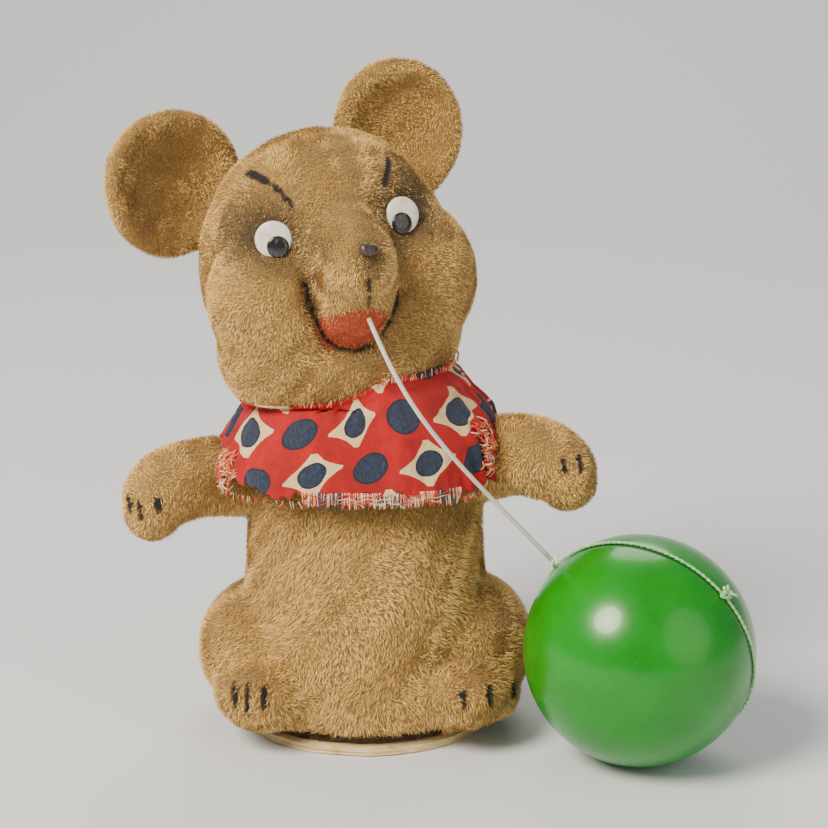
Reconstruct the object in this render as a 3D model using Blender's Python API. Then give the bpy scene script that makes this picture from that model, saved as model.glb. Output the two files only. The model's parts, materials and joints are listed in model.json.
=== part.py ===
"""Clockwork mouse: a sitting flocked mouse on a flat board base, with a wind-up motor inside that
turns the head, a cloth vest over the neck joint, and a ball held by a nylon line from the mouth.

Metres, +Z up, the mouse faces -Y. The origin is on the floor at the middle of the base disc.
"""

import math

import bmesh
import bpy
from mathutils import Matrix, Vector

MM = 0.001
GAP = 0.3 * MM  # clearance kept between pieces that touch or turn in each other
SLIVER = 0.004 * MM

# Base and body
BASE_RADIUS = 25.5 * MM
BASE_THICK = 2.0 * MM
WALL = 1.6 * MM
BODY_TOP = 63.0 * MM
# height, half width, half depth, depth centre of the body's rings
BODY_RINGS = [
    (2.3, 25.4, 23.6, -0.5),
    (8.0, 27.0, 25.0, -0.8),
    (18.0, 26.2, 24.4, -1.2),
    (30.0, 23.8, 22.2, -1.2),
    (42.0, 23.4, 20.4, -0.6),
    (50.0, 23.6, 19.4, 0.0),
    (56.0, 22.0, 17.8, 0.0),
    (60.0, 18.4, 15.0, 0.0),
    (62.2, 14.2, 12.0, 0.0),
    (63.0, 11.0, 9.6, 0.0),
]
HAUNCH = ((20.4, -1.5, 14.8), (13.4, 17.6, 13.2))
FOOT = ((19.4, -17.0, 9.4), (11.0, 13.0, 7.6))
# centre line of each arm from the shoulder to the paw, with the radius at each point
ARM_LEFT = [
    ((-16, 0, 51), 7.6),
    ((-24, -2, 50.8), 7.6),
    ((-31.5, -5, 51.0), 7.4),
    ((-37.0, -7.5, 50.2), 7.4),
    ((-39.6, -9.5, 47.2), 7.0),
    ((-40.2, -10.5, 45.6), 5.5),
]
ARM_RIGHT = [
    ((14, 0, 53), 7.8),
    ((23, -2, 54), 7.8),
    ((30.5, -5, 56), 7.6),
    ((35.4, -7.5, 55.6), 7.6),
    ((38, -9.3, 54), 6.8),
    ((38.6, -10.2, 53), 5.4),
]

# Vest: height, half width and half depth of its inner face
VEST_RINGS = [
    (50.0, 27.6, 23.6),
    (55.0, 27.4, 23.2),
    (60.0, 26.4, 22.2),
    (64.5, 24.4, 20.6),
    (67.8, 22.0, 19.0),
]
VEST_CENTRE = (-1.6, -0.6)
VEST_THICK = 0.8
ARMHOLE_CLEAR = 1.5

# Head, given about its own middle and then turned and tipped into place
HEAD_MID = Vector((-8.0, 0.0, 92.7)) * MM
HEAD_YAW = 18.0  # degrees the face is turned towards +X
HEAD_TIP = 8.3  # degrees the crown leans towards -X
HEAD_WALL = 1.8
SKULL = ((0, 1.0, -1.2), (25.4, 22.5, 27.0))
CHEEK = ((13.2, -8.2, -5.5), (13.4, 13.2, 17.0))
MUZZLE = ((0, -17.5, 0.8), (9.2, 12.2, 12.8))
MUZZLE_END = ((0, -24.8, 4.6), (6.6, 8.4, 7.0))
HEAD_SPLIT = 1.5  # the face shell ends and the back shell starts at this depth
HEAD_CUT = 68.5 * MM  # height of the flat underside of the head
# middle, radius, and height over width
EAR_LEFT = (-24.3, 9.0, 21.2, 13.7, 1.05)
EAR_RIGHT = (23.0, 9.0, 22.5, 13.0, 1.13)
EYE_SIDE = 12.1
EYE_UP = 9.5
EYE_RADIUS = 3.5
PUPIL_RADIUS = 2.1
NOSE_UP = 6.6
MOUTH_UP = -6.3

# Ball and line
BALL_RADIUS = 22.4 * MM
BALL_WALL = 1.2 * MM
BALL_MID = Vector((53.2 * MM, -26.0 * MM, BALL_RADIUS))
SEAM_NORMAL = Vector((0.475, 0.834, 0.286)).normalized()
SEAM_OFFSET = 0.127 * BALL_RADIUS
THREAD_RADIUS = 0.3 * MM
LINE_RADIUS = 0.48 * MM

# Motor: plates square to Y, joined by pillars
NECK_X = -2.5 * MM
FRONT_PLATE = (-4.2 * MM, -3.2 * MM)
BACK_PLATE = (8.0 * MM, 9.0 * MM)
PLATE_HALF = 16.6 * MM
PLATE_LOW = 3.0 * MM
PLATE_TOP = 50.6 * MM
PILLARS = [(-14.4, 8.0), (14.4, 8.0), (14.0, 47.6), (-14.6, 47.6)]
MODULE = 0.75 * MM
PRESSURE = math.radians(27)
BACKLASH = 0.07 * MM
GREAT_TEETH = 32
SECOND_TEETH = 28
THIRD_TEETH = 24
PINION_TEETH = 8
MAIN_AXIS = (0.0, 20.0 * MM)
CRANK_AXIS = (NECK_X, 42.0 * MM)
ARBOR_RADIUS = 0.9 * MM
MAIN_ARBOR_RADIUS = 1.8 * MM
RATCHET_TEETH = 12
RATCHET_TIP = 5.0 * MM
RATCHET_ROOT = 3.9 * MM
YOKE_REACH = 9.0 * MM
CRANK_THROW = YOKE_REACH * math.tan(math.radians(HEAD_YAW))
SPRING_TURNS = 6


def clear_scene():
    for ob in list(bpy.data.objects):
        bpy.data.objects.remove(ob, do_unlink=True)


def material(name, colour, roughness=0.6, metallic=0.0):
    mat = bpy.data.materials.new(name)
    mat.use_nodes = True
    shader = mat.node_tree.nodes["Principled BSDF"]
    shader.inputs["Base Color"].default_value = (*colour, 1.0)
    shader.inputs["Roughness"].default_value = roughness
    shader.inputs["Metallic"].default_value = metallic
    return mat


def add(name, bm, mat=None, smooth=False):
    """Turns the bmesh into a linked object with its faces facing out."""
    bmesh.ops.recalc_face_normals(bm, faces=bm.faces)
    mesh = bpy.data.meshes.new(name)
    bm.to_mesh(mesh)
    bm.free()
    ob = bpy.data.objects.new(name, mesh)
    bpy.context.collection.objects.link(ob)
    if mat:
        mesh.materials.append(mat)
    if smooth:
        mesh.shade_smooth()
    return ob


def loft(name, rings, mat=None, smooth=False):
    """A closed solid through rings of equal count, with a flat cap at both ends."""
    bm = bmesh.new()
    rows = [[bm.verts.new(p) for p in ring] for ring in rings]
    count = len(rows[0])
    for low, high in zip(rows, rows[1:]):
        for i in range(count):
            j = (i + 1) % count
            bm.faces.new((low[i], low[j], high[j], high[i]))
    bm.faces.new(list(reversed(rows[0])))
    bm.faces.new(rows[-1])
    return add(name, bm, mat, smooth)


def ellipse(z, half_x, half_y, centre=(0.0, 0.0), count=40):
    steps = [2 * math.pi * i / count for i in range(count)]
    return [
        Vector((centre[0] + half_x * math.cos(a), centre[1] + half_y * math.sin(a), z))
        for a in steps
    ]


def ball(name, middle, radii, segments=24, rings=12, tilt=0.0, mat=None):
    """An ellipsoid, tilted about X by a number of degrees."""
    bm = bmesh.new()
    bmesh.ops.create_uvsphere(bm, u_segments=segments, v_segments=rings, radius=1.0)
    turn = Matrix.Rotation(math.radians(tilt), 4, "X")
    size = Matrix.Diagonal((*radii, 1.0))
    bmesh.ops.transform(bm, matrix=Matrix.Translation(middle) @ turn @ size, verts=bm.verts)
    return add(name, bm, mat, True)


def limb(name, path, grow=0.0, count=18):
    """A round limb along a centre line, closed by rounded ends."""
    points = [Vector(p) * MM for p, _ in path]
    radii = [(r + grow) * MM for _, r in path]
    rings = []
    for i, point in enumerate(points):
        ahead = points[min(i + 1, len(points) - 1)]
        behind = points[max(i - 1, 0)]
        along = (ahead - behind).normalized()
        side = along.cross(Vector((0, 1, 0))).normalized()
        up = side.cross(along).normalized()
        steps = [(0.0, 1.0)]
        if i == 0:
            steps = [(-0.62, 0.6), (-0.35, 0.87), (0.0, 1.0)]
        if i == len(points) - 1:
            steps = [(0.0, 1.0), (0.4, 0.88), (0.72, 0.6), (0.88, 0.3)]
        for shift, share in steps:
            middle = point + along * shift * radii[i]
            ring = []
            for k in range(count):
                a = 2 * math.pi * k / count
                reach = radii[i] * share
                ring.append(middle + side * math.cos(a) * reach + up * math.sin(a) * reach)
            rings.append(ring)
    return loft(name, rings, smooth=True)


def lathe(name, profile, mat=None, count=32, place=None, smooth=True):
    """A solid turned about its own Z from (radius, height) pairs, then placed by a matrix."""
    bm = bmesh.new()
    rows = []
    caps = []
    for spot, (radius, height) in enumerate(profile):
        if radius == 0:
            beside = profile[1] if spot == 0 else profile[spot - 1]
            if beside[1] == height:
                caps.append(0 if spot == 0 else -1)
            else:
                rows.append([bm.verts.new((0, 0, height))])
            continue
        row = []
        for i in range(count):
            a = 2 * math.pi * i / count
            row.append(bm.verts.new((radius * math.cos(a), radius * math.sin(a), height)))
        rows.append(row)
    for cap in caps:
        bm.faces.new(rows[cap])
    open_ended = profile[0][0] == 0
    following = rows[1:] if open_ended else rows[1:] + rows[:1]
    for low, high in zip(rows, following):
        for i in range(count):
            j = (i + 1) % count
            if len(low) == 1:
                bm.faces.new((low[0], high[j], high[i]))
            elif len(high) == 1:
                bm.faces.new((low[i], low[j], high[0]))
            else:
                bm.faces.new((low[i], low[j], high[j], high[i]))
    if place:
        bmesh.ops.transform(bm, matrix=place, verts=bm.verts)
    ob = add(name, bm, mat)
    if smooth:
        shade_round(ob)
    return ob


def shade_round(ob, angle=35.0):
    """Smooth shading with the edges of flat ends and steps kept sharp."""
    bm = bmesh.new()
    bm.from_mesh(ob.data)
    for face in bm.faces:
        face.smooth = True
    for edge in bm.edges:
        turned = len(edge.link_faces) == 2 and edge.calc_face_angle() > math.radians(angle)
        edge.smooth = not turned
    bm.to_mesh(ob.data)
    bm.free()


def along_y(x=0.0, z=0.0):
    """Places a lathed piece so that its own Z runs along +Y through (x, z)."""
    return Matrix.Translation((x, 0, z)) @ Matrix.Rotation(math.radians(-90), 4, "X")


def aimed(point, direction):
    """Places a lathed piece at a point, with its own Z along a direction."""
    turn = Vector(direction).to_track_quat("Z", "Y").to_matrix().to_4x4()
    return Matrix.Translation(point) @ turn


def tube(radius, low, high):
    """Profile of a plain cylinder."""
    return [(0, low), (radius, low), (radius, high), (0, high)]


def ring(outer, inner, low, high):
    """Profile of a plain ring, open through the middle."""
    return [(outer, low), (outer, high), (inner, high), (inner, low)]


def box(name, low, high, mat=None):
    bm = bmesh.new()
    bmesh.ops.create_cube(bm, size=1.0)
    low = Vector(low)
    high = Vector(high)
    size = Matrix.Diagonal((*(high - low), 1.0))
    bmesh.ops.transform(bm, matrix=Matrix.Translation((low + high) / 2) @ size, verts=bm.verts)
    return add(name, bm, mat)


def combine(target, tool, operation):
    """Joins the tool to the target or cuts it away, and closes up slivers left along the cut."""
    modifier = target.modifiers.new("combine", "BOOLEAN")
    modifier.operation = operation
    modifier.solver = "EXACT"
    modifier.object = tool
    bpy.context.view_layer.objects.active = target
    bpy.ops.object.modifier_apply(modifier=modifier.name)
    bpy.data.objects.remove(tool, do_unlink=True)
    bm = bmesh.new()
    bm.from_mesh(target.data)
    bmesh.ops.remove_doubles(bm, verts=bm.verts, dist=SLIVER)
    bmesh.ops.dissolve_degenerate(bm, edges=bm.edges, dist=SLIVER)
    bmesh.ops.triangulate(bm, faces=bm.faces)
    bm.to_mesh(target.data)
    bm.free()
    return target


def union(first, *rest):
    for ob in rest:
        combine(first, ob, "UNION")
    return first


def copy_of(ob, name):
    twin = ob.copy()
    twin.data = ob.data.copy()
    twin.name = name
    bpy.context.collection.objects.link(twin)
    return twin


def dress(ob, mat, smooth=35.0):
    ob.data.materials.clear()
    ob.data.materials.append(mat)
    for face in ob.data.polygons:
        face.material_index = 0
    shade_round(ob, smooth)
    return ob


def set_origin(ob, point):
    """Moves the object's origin to a point without moving its shape."""
    point = Vector(point)
    ob.data.transform(Matrix.Translation(-point))
    ob.location = point


def scaled(values, shrink=0.0):
    return tuple((v - shrink) * MM for v in values)


# ---------------------------------------------------------------- body shells


def body_solid(shrink, name):
    """The body's outside when shrink is 0, or the hollow inside it."""
    count = 34 if not shrink else 16
    share = 1.0 if not shrink else 0.6
    rings = []
    for z, half_x, half_y, mid in BODY_RINGS:
        height = z * MM
        if shrink and z == BODY_RINGS[0][0]:
            height = -5.0 * MM
        if shrink and z > 61:
            continue
        centre = (0, mid * MM)
        rings.append(
            ellipse(height, (half_x - shrink) * MM, (half_y - shrink) * MM, centre, count)
        )
    if shrink:
        rings.append(ellipse(BODY_TOP - shrink * MM, 12.0 * MM, 10.0 * MM, (0, 0), count))
    body = loft(name, rings)
    for side in (1, -1):
        for (middle, radii), segments in ((HAUNCH, 20), (FOOT, 17)):
            place = Vector(middle) * MM
            place.x *= side
            around = round(segments * share)
            union(body, ball(f"{name}_lump", place, scaled(radii, shrink), around, around // 2))
    for path in (ARM_LEFT, ARM_RIGHT):
        union(body, limb(f"{name}_arm", path, -shrink, round(14 * share)))
    return body


def build_body(flock):
    outer = body_solid(0.0, "torso_outer")
    floor = box("floor_cut", (-0.1, -0.1, -0.05), (0.1, 0.1, BASE_THICK + GAP))
    combine(outer, floor, "DIFFERENCE")
    combine(outer, body_solid(WALL / MM, "torso_hollow"), "DIFFERENCE")
    place = Matrix.Translation((NECK_X, 0, 0))
    neck_hole = lathe("neck_hole", tube(5.3 * MM, 0.055, 0.07), place=place)
    combine(outer, neck_hole, "DIFFERENCE")
    key_hole = lathe("key_hole", tube(3.4 * MM, 0.015, 0.03), place=along_y(0, MAIN_AXIS[1]))
    combine(outer, key_hole, "DIFFERENCE")
    back = copy_of(outer, "torso_back_shell")
    outer.name = "torso_front_shell"
    combine(outer, box("back_half", (-0.1, -GAP / 2, -0.01), (0.1, 0.1, 0.1)), "DIFFERENCE")
    combine(back, box("front_half", (-0.1, -0.1, -0.01), (0.1, GAP / 2, 0.1)), "DIFFERENCE")
    dress(outer, flock, 60)
    dress(back, flock, 60)


def build_base(board, tin):
    base = lathe("base_disc", tube(BASE_RADIUS, 0, BASE_THICK), board, 48)
    for number, y in ((1, -8.6 * MM), (2, 13.4 * MM)):
        hole = lathe("rivet_hole", tube(1.3 * MM, -0.001, 0.003), place=Matrix.Translation((0, y, 0)), count=12)
        combine(base, hole, "DIFFERENCE")
        profile = [
            (0, 0.2 * MM),
            (1.0 * MM, 0.2 * MM),
            (1.0 * MM, 3.6 * MM),
            (2.1 * MM, 3.6 * MM),
            (1.6 * MM, 4.5 * MM),
            (0, 4.8 * MM),
        ]
        lathe(f"motor_rivet_{number}", profile, tin, 14, Matrix.Translation((0, y, 0)))
    shade_round(base)


def build_vest(cloth):
    rings = []
    for z, half_x, half_y in VEST_RINGS:
        rings.append((z, half_x + VEST_THICK, half_y + VEST_THICK))
    for z, half_x, half_y in reversed(VEST_RINGS):
        rings.append((z, half_x, half_y))
    centre = (VEST_CENTRE[0] * MM, VEST_CENTRE[1] * MM)
    bm = bmesh.new()
    rows = []
    for z, half_x, half_y in rings:
        row = ellipse(z * MM, half_x * MM, half_y * MM, centre, 28)
        rows.append([bm.verts.new(p) for p in row])
    for low, high in zip(rows, rows[1:] + rows[:1]):
        for i in range(28):
            j = (i + 1) % 28
            bm.faces.new((low[i], low[j], high[j], high[i]))
    vest = add("vest_cloth", bm, cloth)
    for path in (ARM_LEFT, ARM_RIGHT):
        combine(vest, limb("armhole", path, ARMHOLE_CLEAR), "DIFFERENCE")
    dress(vest, cloth)


# ---------------------------------------------------------------- head

HEAD_TURN = Matrix.Rotation(math.radians(-HEAD_TIP), 4, "Y") @ Matrix.Rotation(
    math.radians(HEAD_YAW), 4, "Z"
)
HEAD_PLACE = Matrix.Translation(HEAD_MID) @ HEAD_TURN


def head_solid(shrink, name):
    """The head without its ears, about its own middle."""
    middle, radii = SKULL
    share = 1.0 if not shrink else 0.6
    around = round(26 * share)
    head = ball(name, Vector(middle) * MM, scaled(radii, shrink), around, around // 2)
    for side in (1, -1):
        middle, radii = CHEEK
        place = Vector((middle[0] * side, middle[1], middle[2])) * MM
        around = round(20 * share)
        union(head, ball(f"{name}_cheek", place, scaled(radii, shrink), around, around // 2))
    middle, radii = MUZZLE
    union(head, ball(f"{name}_muzzle", Vector(middle) * MM, scaled(radii, shrink), round(18 * share), 8, 12))
    if not shrink:
        middle, radii = MUZZLE_END
        union(head, ball(f"{name}_tip", Vector(middle) * MM, scaled(radii), 16, 8))
    return head


def ear_solid(name, ear):
    """A round ear dished on its front, about the head's own middle."""
    x, y, z, radius, tall = ear
    shape = [
        (0, 0.4),
        (0.5, 0.3),
        (0.76, -0.5),
        (0.9, -1.5),
        (0.97, -1.3),
        (1.0, -0.2),
        (0.97, 1.0),
        (0.85, 2.0),
        (0.55, 2.8),
        (0, 3.0),
    ]
    profile = [(share * radius * MM, depth * MM) for share, depth in shape]
    place = along_y(x * MM, z * MM) @ Matrix.Translation((0, 0, y * MM))
    ob = lathe(name, profile, None, 22, place)
    middle = Matrix.Translation((0, 0, z * MM))
    ob.data.transform(middle @ Matrix.Diagonal((1, 1, tall, 1)) @ middle.inverted())
    return ob


def build_head(flock):
    head = head_solid(0.0, "head_front_shell")
    ears = [ear_solid("ear_a", EAR_LEFT), ear_solid("ear_b", EAR_RIGHT)]
    union(head, *ears)
    combine(head, head_solid(HEAD_WALL, "head_hollow"), "DIFFERENCE")
    back = copy_of(head, "head_back_shell")
    split = HEAD_SPLIT * MM
    combine(head, box("nape_half", (-0.08, split - GAP / 2, -0.08), (0.08, 0.08, 0.08)), "DIFFERENCE")
    combine(back, box("face_half", (-0.08, -0.08, -0.08), (0.08, split + GAP / 2, 0.08)), "DIFFERENCE")
    for shell in (head, back):
        shell.data.transform(HEAD_PLACE)
        under = box("under_cut", (-0.1, -0.1, 0.0), (0.1, 0.1, HEAD_CUT))
        combine(shell, under, "DIFFERENCE")
        place = Matrix.Translation((NECK_X, 0, 0))
        bore = lathe("neck_bore", tube(3.8 * MM, 0.06, HEAD_CUT + 9 * MM), place=place, count=24)
        combine(shell, bore, "DIFFERENCE")
        dress(shell, flock, 60)
    return head, back


def on_face(shell, x, z):
    """The point and outward direction of the face at a place given about the head's middle."""
    start = HEAD_PLACE @ Vector((x * MM, -60 * MM, z * MM))
    along = (HEAD_TURN @ Vector((0, 1, 0))).normalized()
    _, point, normal, _ = shell.ray_cast(start, along)
    return point, normal.normalized()


def build_face(shell, white, black, dark):
    """Eyes and nose sit just proud of the face, and the line leaves by a hole in the mouth."""
    for name, side in (("left", -1), ("right", 1)):
        point, normal = on_face(shell, EYE_SIDE * side, EYE_UP)
        outward = (normal + (HEAD_TURN @ Vector((0, -1, 0))) * 0.8).normalized()
        low = 1.6 * MM
        high = low + 0.7 * MM
        eye = [
            (0, low),
            (EYE_RADIUS * MM, low),
            (EYE_RADIUS * MM, high - 0.2 * MM),
            ((EYE_RADIUS - 0.3) * MM, high),
            (0, high),
        ]
        lathe(f"eye_white_{name}", eye, white, 32, aimed(point, outward))
        lowered = HEAD_TURN @ Vector((0.1, 0, -1.2)) * MM
        middle = point + lowered - outward * lowered.dot(outward)
        pupil = tube(PUPIL_RADIUS * MM, high + GAP, high + GAP + 0.4 * MM)
        lathe(f"pupil_{name}", pupil, black, 28, aimed(middle, outward))
    point, normal = on_face(shell, 0, NOSE_UP)
    shift = point + normal * 1.75 * MM
    nose = ball("nose_bead", shift, (1.8 * MM, 1.5 * MM, 1.5 * MM), 12, 6, mat=dark)
    point, normal = on_face(shell, 0, MOUTH_UP)
    outward = (HEAD_TURN @ Vector((0, -1, -0.35))).normalized()
    seat = aimed(point, outward)
    bore = LINE_RADIUS + GAP
    hole = lathe("mouth_hole", tube(bore, -6 * MM, 6 * MM), place=seat, count=16)
    combine(shell, hole, "DIFFERENCE")
    shade_round(shell, 60)
    return point, outward, nose


def build_neck(bush_mat, plug_mat, steel):
    place = Matrix.Translation((NECK_X, 0, 0))
    bush = [
        (8.0 * MM, BODY_TOP + GAP),
        (8.0 * MM, BODY_TOP + 1.3 * MM),
        (1.8 * MM, BODY_TOP + 1.3 * MM),
        (1.8 * MM, BODY_TOP - 4.5 * MM),
        (5.0 * MM, BODY_TOP - 4.5 * MM),
        (5.0 * MM, BODY_TOP + GAP),
    ]
    lathe("neck_bush", bush, bush_mat, 24, place)
    plug = [
        (8.6 * MM, HEAD_CUT - 2.3 * MM),
        (8.6 * MM, HEAD_CUT - GAP),
        (3.4 * MM, HEAD_CUT - GAP),
        (3.0 * MM, HEAD_CUT + 6 * MM),
        (1.8 * MM, HEAD_CUT + 6 * MM),
        (1.8 * MM, HEAD_CUT - 2.3 * MM),
    ]
    lathe("head_plug", plug, plug_mat, 24, place)
    low = PLATE_TOP + 1.2 * MM
    shaft = [
        (0, low),
        (1.2 * MM, low),
        (1.5 * MM, low + GAP),
        (1.5 * MM, HEAD_CUT + 7.6 * MM),
        (1.1 * MM, HEAD_CUT + 8 * MM),
        (0, HEAD_CUT + 8 * MM),
    ]
    lathe("neck_shaft", shaft, steel, 16, place)


# ---------------------------------------------------------------- motor


def gear_outline(teeth, phase):
    """Involute tooth outline in the plane of the wheel, thinned a little for backlash."""
    pitch = MODULE * teeth / 2
    base = pitch * math.cos(PRESSURE)
    tip = pitch + 0.88 * MODULE
    root = pitch - 1.15 * MODULE
    half = math.pi / (2 * teeth) - BACKLASH / (2 * pitch)
    inv = math.tan(PRESSURE) - PRESSURE
    start = max(base, root)
    flank = []
    if root < base:
        flank.append((root, half + inv))
    steps = 3 if teeth < 20 else 2
    for i in range(steps):
        radius = start + (tip - start) * i / (steps - 1)
        angle = math.acos(min(1.0, base / radius))
        flank.append((radius, half + inv - (math.tan(angle) - angle)))
    points = []
    for k in range(teeth):
        centre = phase + 2 * math.pi * k / teeth
        for radius, offset in flank:
            points.append((radius * math.cos(centre - offset), radius * math.sin(centre - offset)))
        for radius, offset in reversed(flank):
            points.append((radius * math.cos(centre + offset), radius * math.sin(centre + offset)))
    return points


def plate_solid(name, outline, low, high, mat=None):
    """A flat piece with its outline in X and Z, between two depths."""
    near = [Vector((x, low, z)) for x, z in outline]
    far = [Vector((x, high, z)) for x, z in outline]
    return loft(name, [near, far], mat)


def moved(outline, axis):
    return [(x + axis[0], z + axis[1]) for x, z in outline]


def drill(ob, axis, radius, low, high, count=12):
    """A round hole along Y."""
    combine(ob, lathe("drill", tube(radius, low, high), place=along_y(*axis), count=count), "DIFFERENCE")


def wheel(name, teeth, axis, phase, low, high, bore, holes, mat):
    """A toothed wheel with a bore and a ring of round lightening holes."""
    ob = plate_solid(name, moved(gear_outline(teeth, phase), axis), low, high, mat)
    drill(ob, axis, bore, low - MM, high + MM, 16)
    pitch = MODULE * teeth / 2
    radius = pitch * 0.19
    for k in range(holes):
        a = 2 * math.pi * (k + 0.5) / holes
        reach = (pitch - 0.75 * MM + bore) / 2 + 0.35 * MM
        spot = (axis[0] + reach * math.cos(a), axis[1] + reach * math.sin(a))
        drill(ob, spot, radius, low - MM, high + MM, 12)
    shade_round(ob, 30)
    set_origin(ob, (axis[0], 0, axis[1]))
    return ob


def pinion_arbor(name, axis, phase, leaf_low, leaf_high, mat, front, back):
    """An arbor with its pinion leaves cut from the same bar."""
    ob = plate_solid(name, moved(gear_outline(PINION_TEETH, phase), axis), leaf_low, leaf_high, mat)
    shaft = lathe("shaft", tube(ARBOR_RADIUS, front, back), place=along_y(*axis), count=12)
    union(ob, shaft)
    shade_round(ob, 30)
    set_origin(ob, (axis[0], 0, axis[1]))
    return ob


def direction(start, end):
    return math.atan2(end[1] - start[1], end[0] - start[0])


def second_axis():
    """The second arbor sits where both its meshes have their true centre distances."""
    first = MODULE * (GREAT_TEETH + PINION_TEETH) / 2
    second = MODULE * (SECOND_TEETH + PINION_TEETH) / 2
    start = Vector(MAIN_AXIS)
    line = Vector(CRANK_AXIS) - start
    length = line.length
    along = (first**2 - second**2 + length**2) / (2 * length)
    aside = math.sqrt(first**2 - along**2)
    unit = line / length
    spot = start + unit * along + Vector((-unit.y, unit.x)) * aside
    return (spot.x, spot.y)


def governor_axis():
    reach = MODULE * (THIRD_TEETH + PINION_TEETH) / 2
    a = math.radians(-40)
    return (CRANK_AXIS[0] + reach * math.cos(a), CRANK_AXIS[1] + reach * math.sin(a))


SECOND_AXIS = second_axis()
GOVERNOR_AXIS = governor_axis()


def build_plates(steel):
    outline = [
        (-PLATE_HALF, PLATE_LOW),
        (PLATE_HALF, PLATE_LOW),
        (PLATE_HALF, PLATE_TOP - 4 * MM),
        (PLATE_HALF - 4 * MM, PLATE_TOP),
        (-PLATE_HALF + 4 * MM, PLATE_TOP),
        (-PLATE_HALF, PLATE_TOP - 4 * MM),
    ]
    arbors = (SECOND_AXIS, CRANK_AXIS, GOVERNOR_AXIS)
    for name, (low, high), outward in (
        ("motor_plate_front", FRONT_PLATE, -1),
        ("motor_plate_back", BACK_PLATE, 1),
    ):
        plate = plate_solid(name, outline, low, high, steel)
        edge = low if outward < 0 else high
        inner = edge - outward * 0.9 * MM
        reach = edge + outward * 7 * MM
        foot_low = BASE_THICK + GAP
        foot = box(
            "foot",
            (-6 * MM, min(inner, reach), foot_low),
            (6 * MM, max(inner, reach), PLATE_LOW + 0.3 * MM),
        )
        union(plate, foot)
        hole_y = -8.6 * MM if outward < 0 else 13.4 * MM
        hole = lathe("foot_hole", tube(1.3 * MM, 0, 0.006), place=Matrix.Translation((0, hole_y, 0)), count=20)
        combine(plate, hole, "DIFFERENCE")
        for axis in arbors:
            drill(plate, axis, ARBOR_RADIUS + GAP, low - MM, high + MM)
        drill(plate, MAIN_AXIS, MAIN_ARBOR_RADIUS + GAP, low - MM, high + MM, 16)
        for x, z in PILLARS:
            drill(plate, (x * MM, z * MM), 1.2 * MM, low - MM, high + MM)
        dress(plate, steel)


def build_pillars(brass):
    low = FRONT_PLATE[1] + GAP
    high = BACK_PLATE[0] - GAP
    profile = [
        (0, FRONT_PLATE[0] - 0.6 * MM),
        (0.9 * MM, FRONT_PLATE[0] - 0.6 * MM),
        (0.9 * MM, low),
        (1.6 * MM, low),
        (1.6 * MM, high),
        (0.9 * MM, high),
        (0.9 * MM, BACK_PLATE[1] + 0.6 * MM),
        (0, BACK_PLATE[1] + 0.6 * MM),
    ]
    for number, (x, z) in enumerate(PILLARS, 1):
        lathe(f"motor_pillar_{number}", profile, brass, 12, along_y(x * MM, z * MM))


def spiral_strip(name, mat):
    """The wound mainspring: a strip wound round the arbor, its outer end led to a pillar."""
    x, z = PILLARS[1]
    target = Vector((x * MM, z * MM)) - Vector(MAIN_AXIS)
    end_angle = math.atan2(target.y, target.x)
    inner = MAIN_ARBOR_RADIUS + 0.8 * MM
    outer = 10.4 * MM
    steps = SPRING_TURNS * 12
    start_angle = end_angle - 2 * math.pi * SPRING_TURNS
    centre = []
    for i in range(steps + 1):
        share = i / steps
        radius = inner + (outer - inner) * share
        tail = max(0.0, (i - (steps - 5)) / 5)
        radius += tail**2 * (target.length - 2.3 * MM - outer)
        angle = start_angle + share * 2 * math.pi * SPRING_TURNS
        centre.append(Vector((radius * math.cos(angle), radius * math.sin(angle))))
    half = 0.2 * MM
    rings = []
    for i, point in enumerate(centre):
        ahead = centre[min(i + 1, steps)]
        behind = centre[max(i - 1, 0)]
        along = (ahead - behind).normalized()
        out = Vector((along.y, -along.x)) * half
        row = []
        for side, y in ((1, 4.4), (1, 7.6), (-1, 7.6), (-1, 4.4)):
            spot = point + out * side
            row.append(Vector((MAIN_AXIS[0] + spot.x, y * MM, MAIN_AXIS[1] + spot.y)))
        rings.append(row)
    ob = loft(name, rings, mat)
    shade_round(ob, 40)


def ratchet_outline():
    """Saw teeth: a radial face and a long sloping back."""
    points = []
    for k in range(RATCHET_TEETH):
        a = 2 * math.pi * k / RATCHET_TEETH
        step = 2 * math.pi / RATCHET_TEETH
        points.append((RATCHET_ROOT * math.cos(a), RATCHET_ROOT * math.sin(a)))
        points.append((RATCHET_TIP * math.cos(a + 0.02), RATCHET_TIP * math.sin(a + 0.02)))
        mid = (RATCHET_ROOT * 0.55 + RATCHET_TIP * 0.45, a + step * 0.55)
        points.append((mid[0] * math.cos(mid[1]), mid[0] * math.sin(mid[1])))
    return points


def build_winding(brass, steel):
    ratchet = plate_solid("ratchet_wheel", moved(ratchet_outline(), MAIN_AXIS), 2.0 * MM, 3.2 * MM, steel)
    drill(ratchet, MAIN_AXIS, MAIN_ARBOR_RADIUS + GAP, 0, 5 * MM, 24)
    shade_round(ratchet, 25)
    set_origin(ratchet, (MAIN_AXIS[0], 0, MAIN_AXIS[1]))
    arbor = [
        (0, FRONT_PLATE[0] - 0.8 * MM),
        (1.4 * MM, FRONT_PLATE[0] - 0.8 * MM),
        (MAIN_ARBOR_RADIUS, FRONT_PLATE[0] - 0.4 * MM),
        (MAIN_ARBOR_RADIUS, 32.0 * MM),
        (1.4 * MM, 32.4 * MM),
        (0, 32.4 * MM),
    ]
    ob = lathe("winding_arbor", arbor, steel, 24, along_y(*MAIN_AXIS))
    set_origin(ob, (MAIN_AXIS[0], 0, MAIN_AXIS[1]))
    build_key(brass)


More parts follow.
